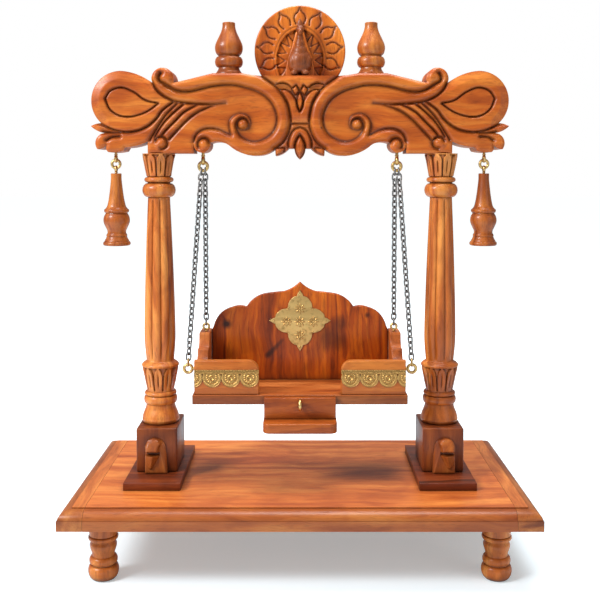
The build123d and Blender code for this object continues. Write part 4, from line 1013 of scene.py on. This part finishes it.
def finials():
    """Two flat-topped vase finials."""
    foot = BEAM_TOP + FINIAL_RISE
    line = profile((0, 0), ("to", 14.6, 0), ("ease", 11.4, 7.2), ("to", 11.4, 7.8), ("bead", 11.4, 19.8, 3.9),
                   ("to", 11.4, 20.4))
    line += flowing([(11.4, 20.4), (14.0, 23.4), (15.2, 28.4), (14.4, 33.6), (11.4, 40.2), (8.6, 46.2),
                     (7.1, 51.6), (6.9, 56.2)])[1:]
    line += [(6.3, 56.6), (0, 56.6)]
    line = [(r, z + foot) for r, z in line]
    for side in SIDES:
        name = "finial_" + side
        x = middle(name)[0]
        fit(lathe(line, x, 0), name + "_turned", TURNED_WOOD, "frame", [name])


DISC_R = 50.2
EYE_MARKS = 9               # feather eyes round the rim
EYE_STEP = 28.0             # degrees between two of them
RAYS = 11                   # triangular cuts inside the oval
RAY_STEP = 22.4             # degrees between two of them
RAY_HALF = 9.2              # degrees from a ray's middle to its corners
RAY_TIP, RAY_FOOT = 0.62, 0.93          # where a ray starts and ends, as shares of the oval
OVAL_W, OVAL_H, OVAL_Z = 27.0, 35.6, -10.0      # half its width and height, and its middle
OVAL_SINK, OVAL_RIM, RIM_W = -0.9, 0.15, 1.6    # level inside it and on its rim, and half the rim's width
CUT, CUT_W, RAY_CUT = 1.6, 0.95, 1.4    # depth and width of a cut line, and depth inside a ray
EDGE_CUT, EDGE_W = 1.2, 1.6             # rounding of the disc's edge
FACE_BACK = 1.3             # the uncut face behind the front of its node
DISC_RINGS, DISC_STEPS = 72, 220
FEATHER = [(-4.2, -8.2), (-6.3, -2.8), (-5.1, 2.0), (-1.9, 5.4), (0, 9.8)]
FEATHER_OUT = 0.765         # middle of a feather eye, as a share of the radius


def feather_eyes():
    """The cut lines of the feather eyes, two to each."""
    cuts = []
    for i in range(EYE_MARKS):
        turn = math.radians((i - (EYE_MARKS - 1) / 2) * EYE_STEP)
        out = np.array((math.sin(turn), math.cos(turn)))
        side = np.array((math.cos(turn), -math.sin(turn)))
        centre = out * DISC_R * FEATHER_OUT
        for s in (-1, 1):
            line = [centre + side * a * s + out * b for a, b in flowing(FEATHER, cuts=4)]
            cuts.append([tuple(p) for p in line])
    return cuts


def ray(turn):
    """A triangle inside the oval, its point towards the middle."""
    corner_turns = ((turn - RAY_HALF, RAY_FOOT), (turn, RAY_TIP), (turn + RAY_HALF, RAY_FOOT))
    return [(OVAL_W * math.sin(math.radians(a)) * out, OVAL_H * math.cos(math.radians(a)) * out + OVAL_Z)
            for a, out in corner_turns]


def disc_relief(spots):
    """Height change of the disc's face, and its cuts: feather eyes, an oval rim and inner rays."""
    x, z = spots.T
    oval = np.hypot(x / OVAL_W, (z - OVAL_Z) / OVAL_H)
    height = np.where(oval < 1, OVAL_SINK, 0.0)
    rim = np.abs(oval - 1.0) * OVAL_W
    height = np.where(rim < RIM_W, OVAL_RIM * np.cos(rim / RIM_W * math.pi), height)
    gap = np.full(len(spots), FAR)
    for line in feather_eyes():
        gap = np.minimum(gap, distance(spots, line))
    for i in range(RAYS):
        triangle = ray((i - (RAYS - 1) / 2) * RAY_STEP)
        here = within(spots, triangle)
        height[here] -= RAY_CUT * np.clip(distance(spots[here], triangle + triangle[:1]) / RIM_W, 0, 1)
        gap = np.minimum(gap, distance(spots, triangle) + 0.15)
    height -= CUT * ridge(gap, CUT_W)
    height -= EDGE_CUT * (1 - quarter_round((DISC_R - np.hypot(x, z)) / EDGE_W))
    # The second value darkens the cuts and the outer side of the oval rim, as held stain and painted shade.
    return height, np.clip(ridge(gap, 0.9) + 0.6 * ridge(rim - RIM_W, 0.7), 0, 1)


def disc():
    """The sunburst disc: a round board spun in rings, its face carved."""
    low, high = span("crest_disc")
    face = low[1] + FACE_BACK
    line = [(0, 0)] + [(DISC_R * (i / DISC_RINGS), 0) for i in range(1, DISC_RINGS + 1)]
    thick = high[1] - face
    line += [(DISC_R, 1.0), (DISC_R, thick - 1), (DISC_R - 1, thick), (0, thick)]
    board = lathe(line, steps=DISC_STEPS)
    places = corners(board)
    front = places[:, 2] < 0.01
    height, groove = disc_relief(places[:, :2].copy())
    places[front, 2] -= height[front]
    centre_z = middle("crest_disc")[2]
    upright = np.column_stack((places[:, 0], places[:, 2] + face, places[:, 1] + centre_z))
    set_corners(board, upright)
    mark_groove(board, np.where(front, groove, 0))
    edit(board)
    close_up()
    fit(board, "crest_disc_carved", DISC_WOOD, "frame", ["crest_disc"], angle=45)


def tail_slab():
    """The pointed slab between the bird and the disc."""
    front = span("crest_disc")[0][1]
    fan = run((-16.0, 0.2), [(16.0, 0.2), (13.0, 22.0, 9.0, 33.0), (5.0, 48.0, 0.0, 61.0),
                             (-5.0, 48.0, -9.0, 33.0), (-13.0, 22.0, -16.0, 0.2)])
    slab = sawn(fan[:-1], front - 2.4, front + 1.6, 1.2)
    slab.data.transform(Matrix.Translation((0, 0, BEAM_TOP)))
    fit(slab, "tail_slab", DISC_WOOD, "frame")


# The bird's lumps: place across, behind its middle line and over the beam, half sizes, fineness.
LUMPS = [
    (0, 0, 18, 12.6, 10.6, 12.6, 3),                                            # body
    (0, -0.6, 10.5, 11.4, 9.8, 8.6, 3),                                         # belly
    (0, -1.4, 26, 8.2, 8.2, 9.6, 3), (0, -1.6, 34, 5.6, 6.0, 8.4, 3),           # neck, from its root up
    (0, -1.8, 41, 4.0, 4.6, 7.0, 3), (0, -2.0, 46, 3.3, 3.9, 5.0, 3),
    (0, -2.6, 50.6, 4.6, 4.6, 4.2, 3), (0, -8.0, 47.0, 2.6, 3.0, 3.7, 2),       # head and beak
    (-6.1, -7.2, 3.6, 4.2, 4.8, 3.6, 3), (6.1, -7.2, 3.6, 4.2, 4.8, 3.6, 3),    # feet
    (-8.6, -0.4, 15, 4.8, 8.4, 9.6, 3), (8.6, -0.4, 15, 4.8, 8.4, 9.6, 3),      # wings
    (0, -5.2, 17, 8.8, 6.4, 10.0, 3),                                           # breast
]
# Its crest's feathers: place across, about how high the tip is over the beam, half width.
CREST_FEATHERS = ((0, 62.2, 2.2), (-1.6, 60.4, 1.6), (1.7, 59.4, 1.6))


def peacock():
    """The bird: lumps for body, breast, neck, head, feet and crest, run together and smoothed."""
    y = middle("peacock")[1]
    z = BEAM_TOP
    lumps = [ball(across_by, y + back, z + up, *sizes) for across_by, back, up, *sizes in LUMPS]
    for shift, tip, wide in CREST_FEATHERS:
        lumps.append(ball(shift, y - 2.0, z + (50 + tip) / 2 + 0.6, wide, wide, (tip - 49) / 2, 2))
    bird = joined(lumps)
    apply_modifier(bird, "REMESH", mode="VOXEL", voxel_size=0.65)
    apply_modifier(bird, "SMOOTH", factor=0.5, iterations=7)
    fit(bird, "peacock_carved", BIRD_WOOD, "frame", ["peacock"], angle=80)


# ---------------------------------------------------------------- pendants and brass wire
def pendants():
    """Two turned drops, closed at a small top and standing on a flared foot."""
    low = span("pendant_right")[0][2]
    line = profile((0, 0), ("to", 13.6, 0), ("bead", 13.4, 4.6, 1.5), ("ease", 11.4, 9.4), ("to", 10.9, 10.0),
                   ("bead", 10.4, 13.2, 0.7), ("to", 10.1, 13.8))
    line += flowing([(10.1, 13.8), (10.3, 16.4), (12.0, 20.2), (13.9, 24.6), (14.4, 28.4), (13.7, 32.2),
                     (12.0, 35.4)])[1:]
    line += profile((12.0, 35.4), ("to", 11.8, 36.0), ("bead", 12.4, 40.4, 1.5))[1:]
    line += flowing([(12.4, 40.4), (10.3, 43.4), (8.9, 49.0), (7.7, 56.0), (6.6, 65.0), (5.8, 73.0),
                     (5.8, 79.1)])[1:]
    line += [(5.3, 79.5), (0, 79.5)]
    line = [(r, z + low) for r, z in line]
    for side in SIDES:
        name = "pendant_" + side
        x, y, _ = middle(name)
        fit(lathe(line, x, y), name + "_turned", TURNED_WOOD, "pendant_body_" + side, [name])


def facing(place, normal):
    """Turns an upright axis to a direction, and moves it to a place."""
    turn = Vector((0, 0, 1)).rotation_difference(Vector(normal)).to_matrix().to_4x4()
    return Matrix.Translation(place) @ turn


def hoop(centre, normal, radius, wire, around=36, section=12):
    """A ring of round wire."""
    piece = started(bpy.ops.mesh.primitive_torus_add, major_radius=radius, minor_radius=wire / 2,
                    major_segments=around, minor_segments=section)
    piece.data.transform(facing(centre, normal))
    return piece


def rod(start, end, wire):
    """A straight round wire between two points."""
    start, end = Vector(start), Vector(end)
    piece = started(bpy.ops.mesh.primitive_cylinder_add, vertices=14, radius=wire / 2,
                    depth=(end - start).length)
    piece.data.transform(facing((start + end) / 2, end - start))
    return piece


PULL_RISE = 3.4             # the pull eye sits this much higher than its bore's axis in the plain board
STOUT = 1.5                 # round wire looks thinner than the square wire of the same size
NECK_IN = 0.35              # share of the wire by which the neck reaches into the loop
STEM_WIRE, COLLAR_R, COLLAR_WIRE = 0.9, 0.36, 0.5       # shares of the wire


def ring(name, body):
    """A plain closed ring that hangs in a screw eye."""
    low, high = span(name)
    wire = (high - low)[1] * STOUT
    radius = ((high - low)[0] - wire) / 2
    fit(hoop((low + high) / 2, (0, 1, 0), radius, wire), name + "_brass", BRASS_WIRE, body, [name])


def screw_eye(name, body, toward, normal):
    """A bent screw eye: a loop at one end, a neck with a small collar and its shank."""
    low, high = span(name)
    size = high - low
    wire, wide = sorted(size)[:2]
    wire *= STOUT
    radius = (wide - wire) / 2
    toward = np.array(toward, float)
    centre = (low + high) / 2 + toward * (size.max() - wide) / 2
    foot = centre - toward * (size.max() - wide / 2 - 0.2)
    neck = centre - toward * (wide / 2 - wire * NECK_IN)
    loop = hoop(centre, normal, radius, wire)
    stem = rod(neck, foot, wire * STEM_WIRE)
    collar = hoop(neck - toward * wire * NECK_IN, toward, wire * COLLAR_R, wire * COLLAR_WIRE, 20, 8)
    fit(joined([loop, stem, collar]), name + "_brass", BRASS_WIRE, body, [name], angle=60)


def hanging_brass():
    """Rings and screw eyes under the beam, on the pendants and on the seat."""
    for side, s in SIDES.items():
        screw_eye("swing_hook_" + side, "frame", (0, 0, -1), (1, 0, 0))
        ring("swing_ring_" + side, "swing")
        screw_eye("pendant_hook_" + side, "frame", (0, 0, -1), (1, 0, 0))
        ring("pendant_ring_" + side, "pendant_ring_body_" + side)
        screw_eye("pendant_eye_" + side, "pendant_body_" + side, (0, 0, 1), (1, 0, 0))
        screw_eye("front_eye_" + side, "swing", (s, 0, 0), (0, 1, 0))
        screw_eye("rear_eye_" + side, "swing", (0, 0, 1), (0, 1, 0))
    screw_eye("pull_eye", "swing", (0, -1, 0), (1, 0, 0))
    bpy.data.objects["pull_eye_brass"].data.transform(Matrix.Translation((0, 0, PULL_RISE * MM)))


# ---------------------------------------------------------------- chains
CHAIN_WIRE, CHAIN_W = 1.85, 7.1     # a link's wire and its width
CHAIN_PITCH = 6.1                   # about how far each link reaches; a chain's own pitch is fitted to it
LINK_GAP = 0.12                     # play between two links
LINK_STEPS, LINK_SIDES = 20, 7
CHAIN_TWIST, TWIST_LINKS = 45.0, 3  # degrees that a chain twists at each end, and over how many links
HOOK_SPREAD = 2.2                   # the front and rear chains leave their ring this far to either side
HOOK_PLAY, EYE_PLAY = 1.45, 0.3     # how far the end links reach past the wires that carry them


def link_shape(pitch):
    """One round-wire link, long axis upright, in the YZ plane."""
    half_w = (CHAIN_W - CHAIN_WIRE) / 2
    link = hoop((0, 0, 0), (1, 0, 0), half_w, CHAIN_WIRE, LINK_STEPS, LINK_SIDES)
    straight = (pitch + 2 * CHAIN_WIRE + LINK_GAP - CHAIN_W) / 2
    places = corners(link)
    places[:, 2] += np.where(places[:, 2] > 0.01, straight, np.where(places[:, 2] < -0.01, -straight, 0))
    set_corners(link, places)
    return link


def chain(upper, lower, upper_wire, lower_wire):
    """Links from one crosswise wire to another, each a quarter turn on, twisted between them."""
    top, bottom = Vector(upper), Vector(lower)
    fall = bottom - top
    reach = fall.length + HOOK_PLAY + EYE_PLAY - LINK_GAP + upper_wire / 2 + lower_wire / 2
    count = 2 * round((reach / CHAIN_PITCH - 1) / 2) + 1
    pitch = reach / count
    first = pitch / 2 + LINK_GAP / 2 - upper_wire / 2 - HOOK_PLAY
    up = -fall.normalized()
    side = (Vector((1, 0, 0)) - up * up.x).normalized()
    turn = Matrix((side, up.cross(side), up)).transposed().to_4x4()
    link = link_shape(pitch)
    links = []
    for i in range(count):
        twist = CHAIN_TWIST * min(1.0, i / TWIST_LINKS, (count - 1 - i) / TWIST_LINKS)
        spin = Matrix.Rotation(math.radians(90 * (i % 2) + twist), 4, "Z")
        move = Matrix.Translation(top - up * (first + i * pitch))
        one = copied(link)
        one.data.transform(move @ turn @ spin)
        links.append(one)
    bpy.data.objects.remove(link)
    return links


def chains():
    """Four chains; the front ones end in a brass connecting link."""
    ring_low, ring_high = span("swing_ring_right")
    ring_wire = ring_high[1] - ring_low[1]
    z = ring_low[2] + ring_wire / 2
    x = (ring_low[0] + ring_high[0]) / 2
    ends = []
    for row, spread in (("front", HOOK_SPREAD), ("rear", -HOOK_SPREAD)):
        low, high = span(row + "_eye_right")
        wire = high[1] - low[1]
        eye_x, eye_y = (low[0] + high[0]) / 2, (low[1] + high[1]) / 2
        if row == "front":
            eye_x = high[0] - (high[2] - low[2]) / 2
        links = chain((x + spread, 0, z), (eye_x, eye_y, high[2] - wire / 2), ring_wire, wire)
        if row == "front":
            ends.append(links.pop())
        right = joined(links)
        left = copied(right, flip=True)
        for side, piece in (("right", right), ("left", left)):
            name = f"chain_{row}_{side}"
            fit(piece, name + "_links", CHAIN_STEEL, "swing", [name], angle=60)
    ends.append(copied(ends[0], flip=True))
    fit(joined(ends), "connecting_links_brass", BRASS_WIRE, "swing", ["connecting_links"], angle=60)


# ---------------------------------------------------------------- seat
PANEL_X, SIDE_T, JOINT_GAP = 113.0, 12.0, 0.3
BACK_H = 112.3
STEP_R, FRONT_PANEL_R = 8.0, 11.0
BOARD_EASE, SEAT_EASE, STEP_EASE = 0.9, 0.8, 1.2
BOARD_FOOT = SEAT_TOP + 0.02        # the standing boards' housings in the seat aren't drawn
# Half of the backrest's outline, as shares of its half width and its height.
BACK_HALF = [(1, 0.51), (0.978, 0.555), (0.909, 0.67, 0.775, 0.738), (0.69, 0.755, 0.608, 0.744),
             (0.50, 0.842, 0.37, 0.883), (0.27, 0.894, 0.18, 0.901), (0.085, 0.938, 0, 1)]


def corner_inset(radius):
    """How far inside both sides of a corner the middle of its rounding lies."""
    return radius * (1 - math.sqrt(0.5))


def seat_boards():
    """Seat board, riser and step, with softly eased edges and a step with round corners."""
    fit(planed(*span("seat_board"), SEAT_EASE), "seat_board_wood", SEAT_WOOD, "swing",
        ["seat_board"])
    fit(planed(*span("riser_board"), BOARD_EASE), "riser_board_wood", STEP_WOOD, "swing",
        ["riser_board"])
    low, high = span("step_board")
    x, front, back, r = high[0], low[1], high[1], STEP_R
    k = corner_inset(r)
    outline = run((-x, back), [(-x, front + r), (k - x, front + k, r - x, front), (x - r, front),
                               (x - k, front + k, x, front + r), (x, back)])
    fit(sawn(outline, low[2], high[2], STEP_EASE, LYING), "step_board_wood", STEP_WOOD, "swing",
        ["step_board"])


def front_panels():
    """A low board at each side of the seat's front, its inner top corner rounded."""
    for side, s in SIDES.items():
        name = "front_panel_" + side
        low, high = span(name)
        x0, x1 = sorted((low[0] * s, high[0] * s))
        top, r = high[2], FRONT_PANEL_R
        k = corner_inset(r)
        outline = run((x0, BOARD_FOOT), [(x0, top - r), (x0 + k, top - k, x0 + r, top), (x1, top),
                                         (x1, BOARD_FOOT)])
        outline = [(a * s, b) for a, b in outline]
        fit(sawn(outline, low[1], high[1], BOARD_EASE), name + "_wood", PANEL_WOOD, "swing",
            [name])


def side_panels():
    """Stepped sides: low at the front, an ogee to a ledge, another to the rear post."""
    for side in SIDES:
        name = "side_panel_" + side
        low, high = span(name)
        front, back = low[1], high[1]
        outline = run((front, 0), [(front, 32.0), (-15.0, 32.0), (-11.2, 36.4, -9.0, 41.0), (-7.5, 42.5),
                                   (1.0, 42.5), (5.2, 48.1, 7.0, 55.7), (8.5, 57.7), (back, 57.7), (back, 0)])
        outline = [(a, b + BOARD_FOOT) for a, b in outline]
        fit(sawn(outline, low[0], high[0], BOARD_EASE, SIDEWAYS), name + "_wood", SIDE_WOOD, "swing",
            [name])


def backrest():
    """A board with an ogee peak, two wide lobes and two outer lobes, cusps between them."""
    w, h = PANEL_X - SIDE_T - JOINT_GAP, BACK_H
    half = run((w, 0), [tuple(share * size for share, size in zip(move, (w, h, w, h))) for move in BACK_HALF])
    outline = half + [(-x, z) for x, z in reversed(half[:-1])]
    outline = [(x, z + SEAT_TOP) for x, z in outline]
    low, high = span("backrest")
    fit(sawn(outline, low[1], high[1], BOARD_EASE), "backrest_wood", BACK_WOOD, "swing",
        ["backrest"])


MEDAL_R, MEDAL_PITCH = 10.0, 20.0
MEDAL_RINGS, MEDAL_STEPS = 24, 84
PETALS, RIM_BEADS = 14, 28
LACE_H, LACE_BAND = 18.7, 4.6       # the strip's height, and that of its plain band
SHEET_T, SHEET_BACK = 0.35, 0.02    # how far the sheet's front and back are from the board
LACE_BEADS, BEAD_R, BEAD_DROP = 40, 0.74, 1.05      # how many, how large, and how far under the top
WIRE_DROP, WIRE_T = 3.5, 1.7        # the raised line under the beads


def medallion():
    """A pressed round: a hollow boss, a ring of petals and a beaded rim; its axis upright."""
    line = [(MEDAL_R * i / MEDAL_RINGS, 0.5) for i in range(1, MEDAL_RINGS + 1)]
    piece = lathe([(0, 0.2)] + line + [(MEDAL_R, -0.3)], steps=MEDAL_STEPS)
    places = corners(piece)
    x, y, z = places.T
    r, a = np.hypot(x, y), np.arctan2(y, x)
    boss = 0.9 * ridge(r - 2.5, 0.6) - 0.8 * ridge(r, 1.4)
    petals = 0.9 * ridge(r - 5.0, 1.0) * (0.5 + 0.5 * np.cos(a * PETALS)) - 0.3
    inner = -0.3 * ridge(r - 6.6, 0.4)
    rim = 1.2 * ridge(r - 8.4, 0.8) * (0.5 + 0.5 * np.cos(a * RIM_BEADS))
    places[:, 2] = np.where(z > 0, z + (boss + petals + inner + rim) * (r < MEDAL_R - 0.2), z)
    set_corners(piece, places)
    return piece


def bead_row(x0, x1, y, z):
    """A row of small raised beads that ends a little inside both ends of the strip."""
    inside = 0.9
    step = (x1 - x0 - 2 * inside) / (LACE_BEADS - 1)
    one = started(bpy.ops.mesh.primitive_uv_sphere_add, segments=8, ring_count=5, radius=BEAD_R)
    row = [copied(one, (x0 + inside + i * step, y, z)) for i in range(LACE_BEADS)]
    bpy.data.objects.remove(one)
    return joined(row)


def lace():
    """Brass lace along each front panel: a beaded band with half-round medallions hanging from it."""
    low, high = span("lace_strip_right")
    x0, x1, top = low[0], high[0], high[2]
    front, back = low[1], high[1]
    parts = [
        planed((x0, back - SHEET_T, top - LACE_BAND), (x1, back - SHEET_BACK, top), 0.1),
        bead_row(x0, x1, front + 0.35, top - BEAD_DROP),
        rod((x0, front + 0.45, top - WIRE_DROP), (x1, front + 0.45, top - WIRE_DROP), WIRE_T),
    ]
    stamp = medallion()
    stamp.data.transform(Matrix.Rotation(math.radians(90), 4, "X"))
    medal_y, medal_z = back - SHEET_T, top - LACE_H + MEDAL_R
    row = joined([copied(stamp, (x0 + MEDAL_R + i * MEDAL_PITCH, medal_y, medal_z))
                  for i in range(math.ceil((x1 - x0) / MEDAL_PITCH))])
    bpy.data.objects.remove(stamp)
    for place, way in (((x1 - 0.02, 0, 0), (1, 0, 0)), ((0, 0, top - LACE_BAND + 0.2), (0, 0, 1))):
        edit(row)
        bpy.ops.mesh.bisect(plane_co=place, plane_no=way, clear_outer=True, use_fill=False)
        bpy.ops.object.mode_set(mode="OBJECT")
    places = corners(row)
    places[:, 1] = np.clip(places[:, 1], front - 0.4, back - SHEET_BACK)
    set_corners(row, places)
    strip = joined(parts + [row])
    other = copied(strip, flip=True)
    fit(strip, "lace_strip_right_brass", BRASS_LACE, "swing", ["lace_strip_right"])
    fit(other, "lace_strip_left_brass", BRASS_LACE, "swing", ["lace_strip_left"])


PLATE_TIP, PLATE_T = 35.3, 0.9      # middle to the tip of a lobe, and the plate's front from the board
# A quarter of its outline, as shares of the tip: the cusp at the tip, the lobe's side and the notch.
CUSP = [(0.0, 1.0), (0.04, 0.93), (0.085, 0.86), (0.10, 0.80)]
LOBE = [(0.10, 0.80), (0.20, 0.775), (0.30, 0.685), (0.37, 0.57), (0.395, 0.45)]
NOTCH = 0.405
FLOWER_OUT = 15.4                   # centre flower to the four others
FLOWER_DROP = 1.2                   # the flowers sit a little below the plate's middle
FLOWER_PETALS = 8
STAMP_DEPTH = 0.92                  # middle of the stamped flowers and dots before the plate's back
DOTS = [(0, 29.8), (13.0, 14.6), (14.6, 13.0)]      # in one quarter, from the plate's middle


def quarter_turned(x, z, turns):
    """A place turned round the middle by quarter turns."""
    c, s = round(math.cos(turns * math.pi / 2)), round(math.sin(turns * math.pi / 2))
    return x * c - z * s, x * s + z * c


def lobed_plate():
    """A brass plate of four pointed lobes, stamped with five eight-petalled flowers and dots."""
    back = span("backrest_plate")[1][1]
    mid_x, _, mid_z = middle("backrest_plate")
    upper = flowing(CUSP, cuts=3)[:-1] + flowing(LOBE, cuts=4)
    quarter = upper + [(NOTCH, NOTCH)] + [(z, x) for x, z in reversed(upper)]
    quarter = [(x * PLATE_TIP, z * PLATE_TIP) for x, z in quarter]
    outline = [quarter_turned(x, z, -turns) for turns in range(4) for x, z in quarter[:-1]]
    outline = [(x + mid_x, z + mid_z) for x, z in outline]
    parts = [sawn(outline, back - PLATE_T, back - SHEET_BACK, 0.3)]
    petal = ball(0, 0, 3.8, 0.85, 0.85, 2.4, 2)
    for dx, dz in ((0, 0), (1, 0), (-1, 0), (0, 1), (0, -1)):
        x, z = mid_x + dx * FLOWER_OUT, mid_z + dz * FLOWER_OUT - FLOWER_DROP
        at = Matrix.Translation((x, back - STAMP_DEPTH, z))
        for i in range(FLOWER_PETALS):
            one = copied(petal)
            one.data.transform(at @ Matrix.Rotation(2 * math.pi * i / FLOWER_PETALS, 4, "Y"))
            parts.append(one)
        parts.append(ball(*at.translation, 1.0, 0.9, 1.0, 2))
    bpy.data.objects.remove(petal)
    for turns in range(4):
        for x, z in [quarter_turned(*dot, turns) for dot in DOTS]:
            parts.append(ball(mid_x + x, back - STAMP_DEPTH, mid_z + z, 0.85, 0.7, 0.85, 2))
    fit(joined(parts), "backrest_plate_brass", BRASS_SHEET, "swing", ["backrest_plate"])


# ---------------------------------------------------------------- studio
CAMERA_LENS, CAMERA_SENSOR = 54.0, 36.0
CAMERA_BACK, CAMERA_UP, CAMERA_PITCH, CAMERA_SHIFT = 0.99357, 0.4145, 3.05, -0.13
# Each lamp's place and aim and its size in metres, and its power in watts.
LAMPS = {
    "key": ((-1.45, -0.95, 1.45), (0, 0, 0.3), 0.6, 46),
    "fill": ((1.4, -1.3, 0.7), (0, 0, 0.3), 1.0, 4),
    "top": ((0.1, 0.1, 1.9), (0, 0, 0.2), 1.0, 36),
}
GLOW_NEAR, GLOW_FAR = 0.33, 0.8     # glow of the floor under the swing and away from it, to the camera
GLOW_START, GLOW_END = 0.35, 1.1    # metres from the middle between which it changes
SKY_LIGHT = 0.32                    # strength of the surroundings for all but the camera


def camera():
    """A straight-on view from a little under the beam."""
    data = bpy.data.cameras.new("camera")
    data.lens = CAMERA_LENS
    data.sensor_width = CAMERA_SENSOR
    data.shift_y = CAMERA_SHIFT
    eye = bpy.data.objects.new("camera", data)
    eye.location = (0, -CAMERA_BACK, CAMERA_UP)
    eye.rotation_euler = (math.radians(90 - CAMERA_PITCH), 0, 0)
    bpy.context.collection.objects.link(eye)
    bpy.context.scene.camera = eye


def softbox(name, place, aim, size, power):
    """A square studio lamp aimed at a point."""
    data = bpy.data.lights.new(name, "AREA")
    data.size = size
    data.energy = power
    lamp = bpy.data.objects.new(name, data)
    lamp.location = place
    lamp.rotation_euler = (Vector(aim) - Vector(place)).to_track_quat("-Z", "Y").to_euler()
    bpy.context.collection.objects.link(lamp)


def studio():
    """White floor and surroundings, a strong lamp high on the left, one above and a weak one right."""
    floor = started(bpy.ops.mesh.primitive_plane_add, size=30)
    floor.name = "floor"
    floor.location.z = -0.0002
    settle(floor)
    material, tree = fresh("white_paper")
    seen = node(tree, "ShaderNodeLightPath")
    place = node(tree, "ShaderNodeTexCoord").outputs["Object"]
    away = node(tree, "ShaderNodeVectorMath", {0: place}, operation="LENGTH")
    far = node(tree, "ShaderNodeMapRange", {
        "Value": away.outputs["Value"], "From Min": GLOW_START, "From Max": GLOW_END, "To Min": GLOW_NEAR,
        "To Max": GLOW_FAR})
    share = node(tree, "ShaderNodeMath", {0: seen.outputs["Is Camera Ray"], 1: far.outputs[0]},
                 operation="MULTIPLY")
    # The paper is pale blue so that the shadow under the swing renders neutral grey instead of warm from the
    # light the wood throws onto it: a painted correction of the shadow's colour. In full light it still
    # renders white.
    paper = node(tree, "ShaderNodeBsdfDiffuse", {"Color": linear("#DEEBF2")})
    glow = node(tree, "ShaderNodeEmission", {"Color": linear("#F9FEFF"), "Strength": share.outputs[0]})
    both = node(tree, "ShaderNodeAddShader", {0: paper.outputs[0], 1: glow.outputs[0]})
    node(tree, "ShaderNodeOutputMaterial", {"Surface": both.outputs[0]})
    floor.data.materials.append(material)
    for name, settings in LAMPS.items():
        softbox(name, *settings)
    world = bpy.data.worlds.new("studio")
    bpy.context.scene.world = world
    world.use_nodes = True
    tree = world.node_tree
    tree.nodes.clear()
    seen = node(tree, "ShaderNodeLightPath")
    level = node(tree, "ShaderNodeMapRange", {
        "Value": seen.outputs["Is Camera Ray"], "To Min": SKY_LIGHT, "To Max": 1.0})
    sky = node(tree, "ShaderNodeBackground", {"Color": (1, 1, 1, 1), "Strength": level.outputs[0]})
    node(tree, "ShaderNodeOutputWorld", {"Surface": sky.outputs[0]})
    bpy.context.scene.view_settings.view_transform = "Standard"


camera()
base()
feet()
plinths()
brackets()
pillars()
crest_beam()
finials()
disc()
tail_slab()
peacock()
pendants()
hanging_brass()
chains()
seat_boards()
front_panels()
side_panels()
backrest()
lace()
lobed_plate()
studio()
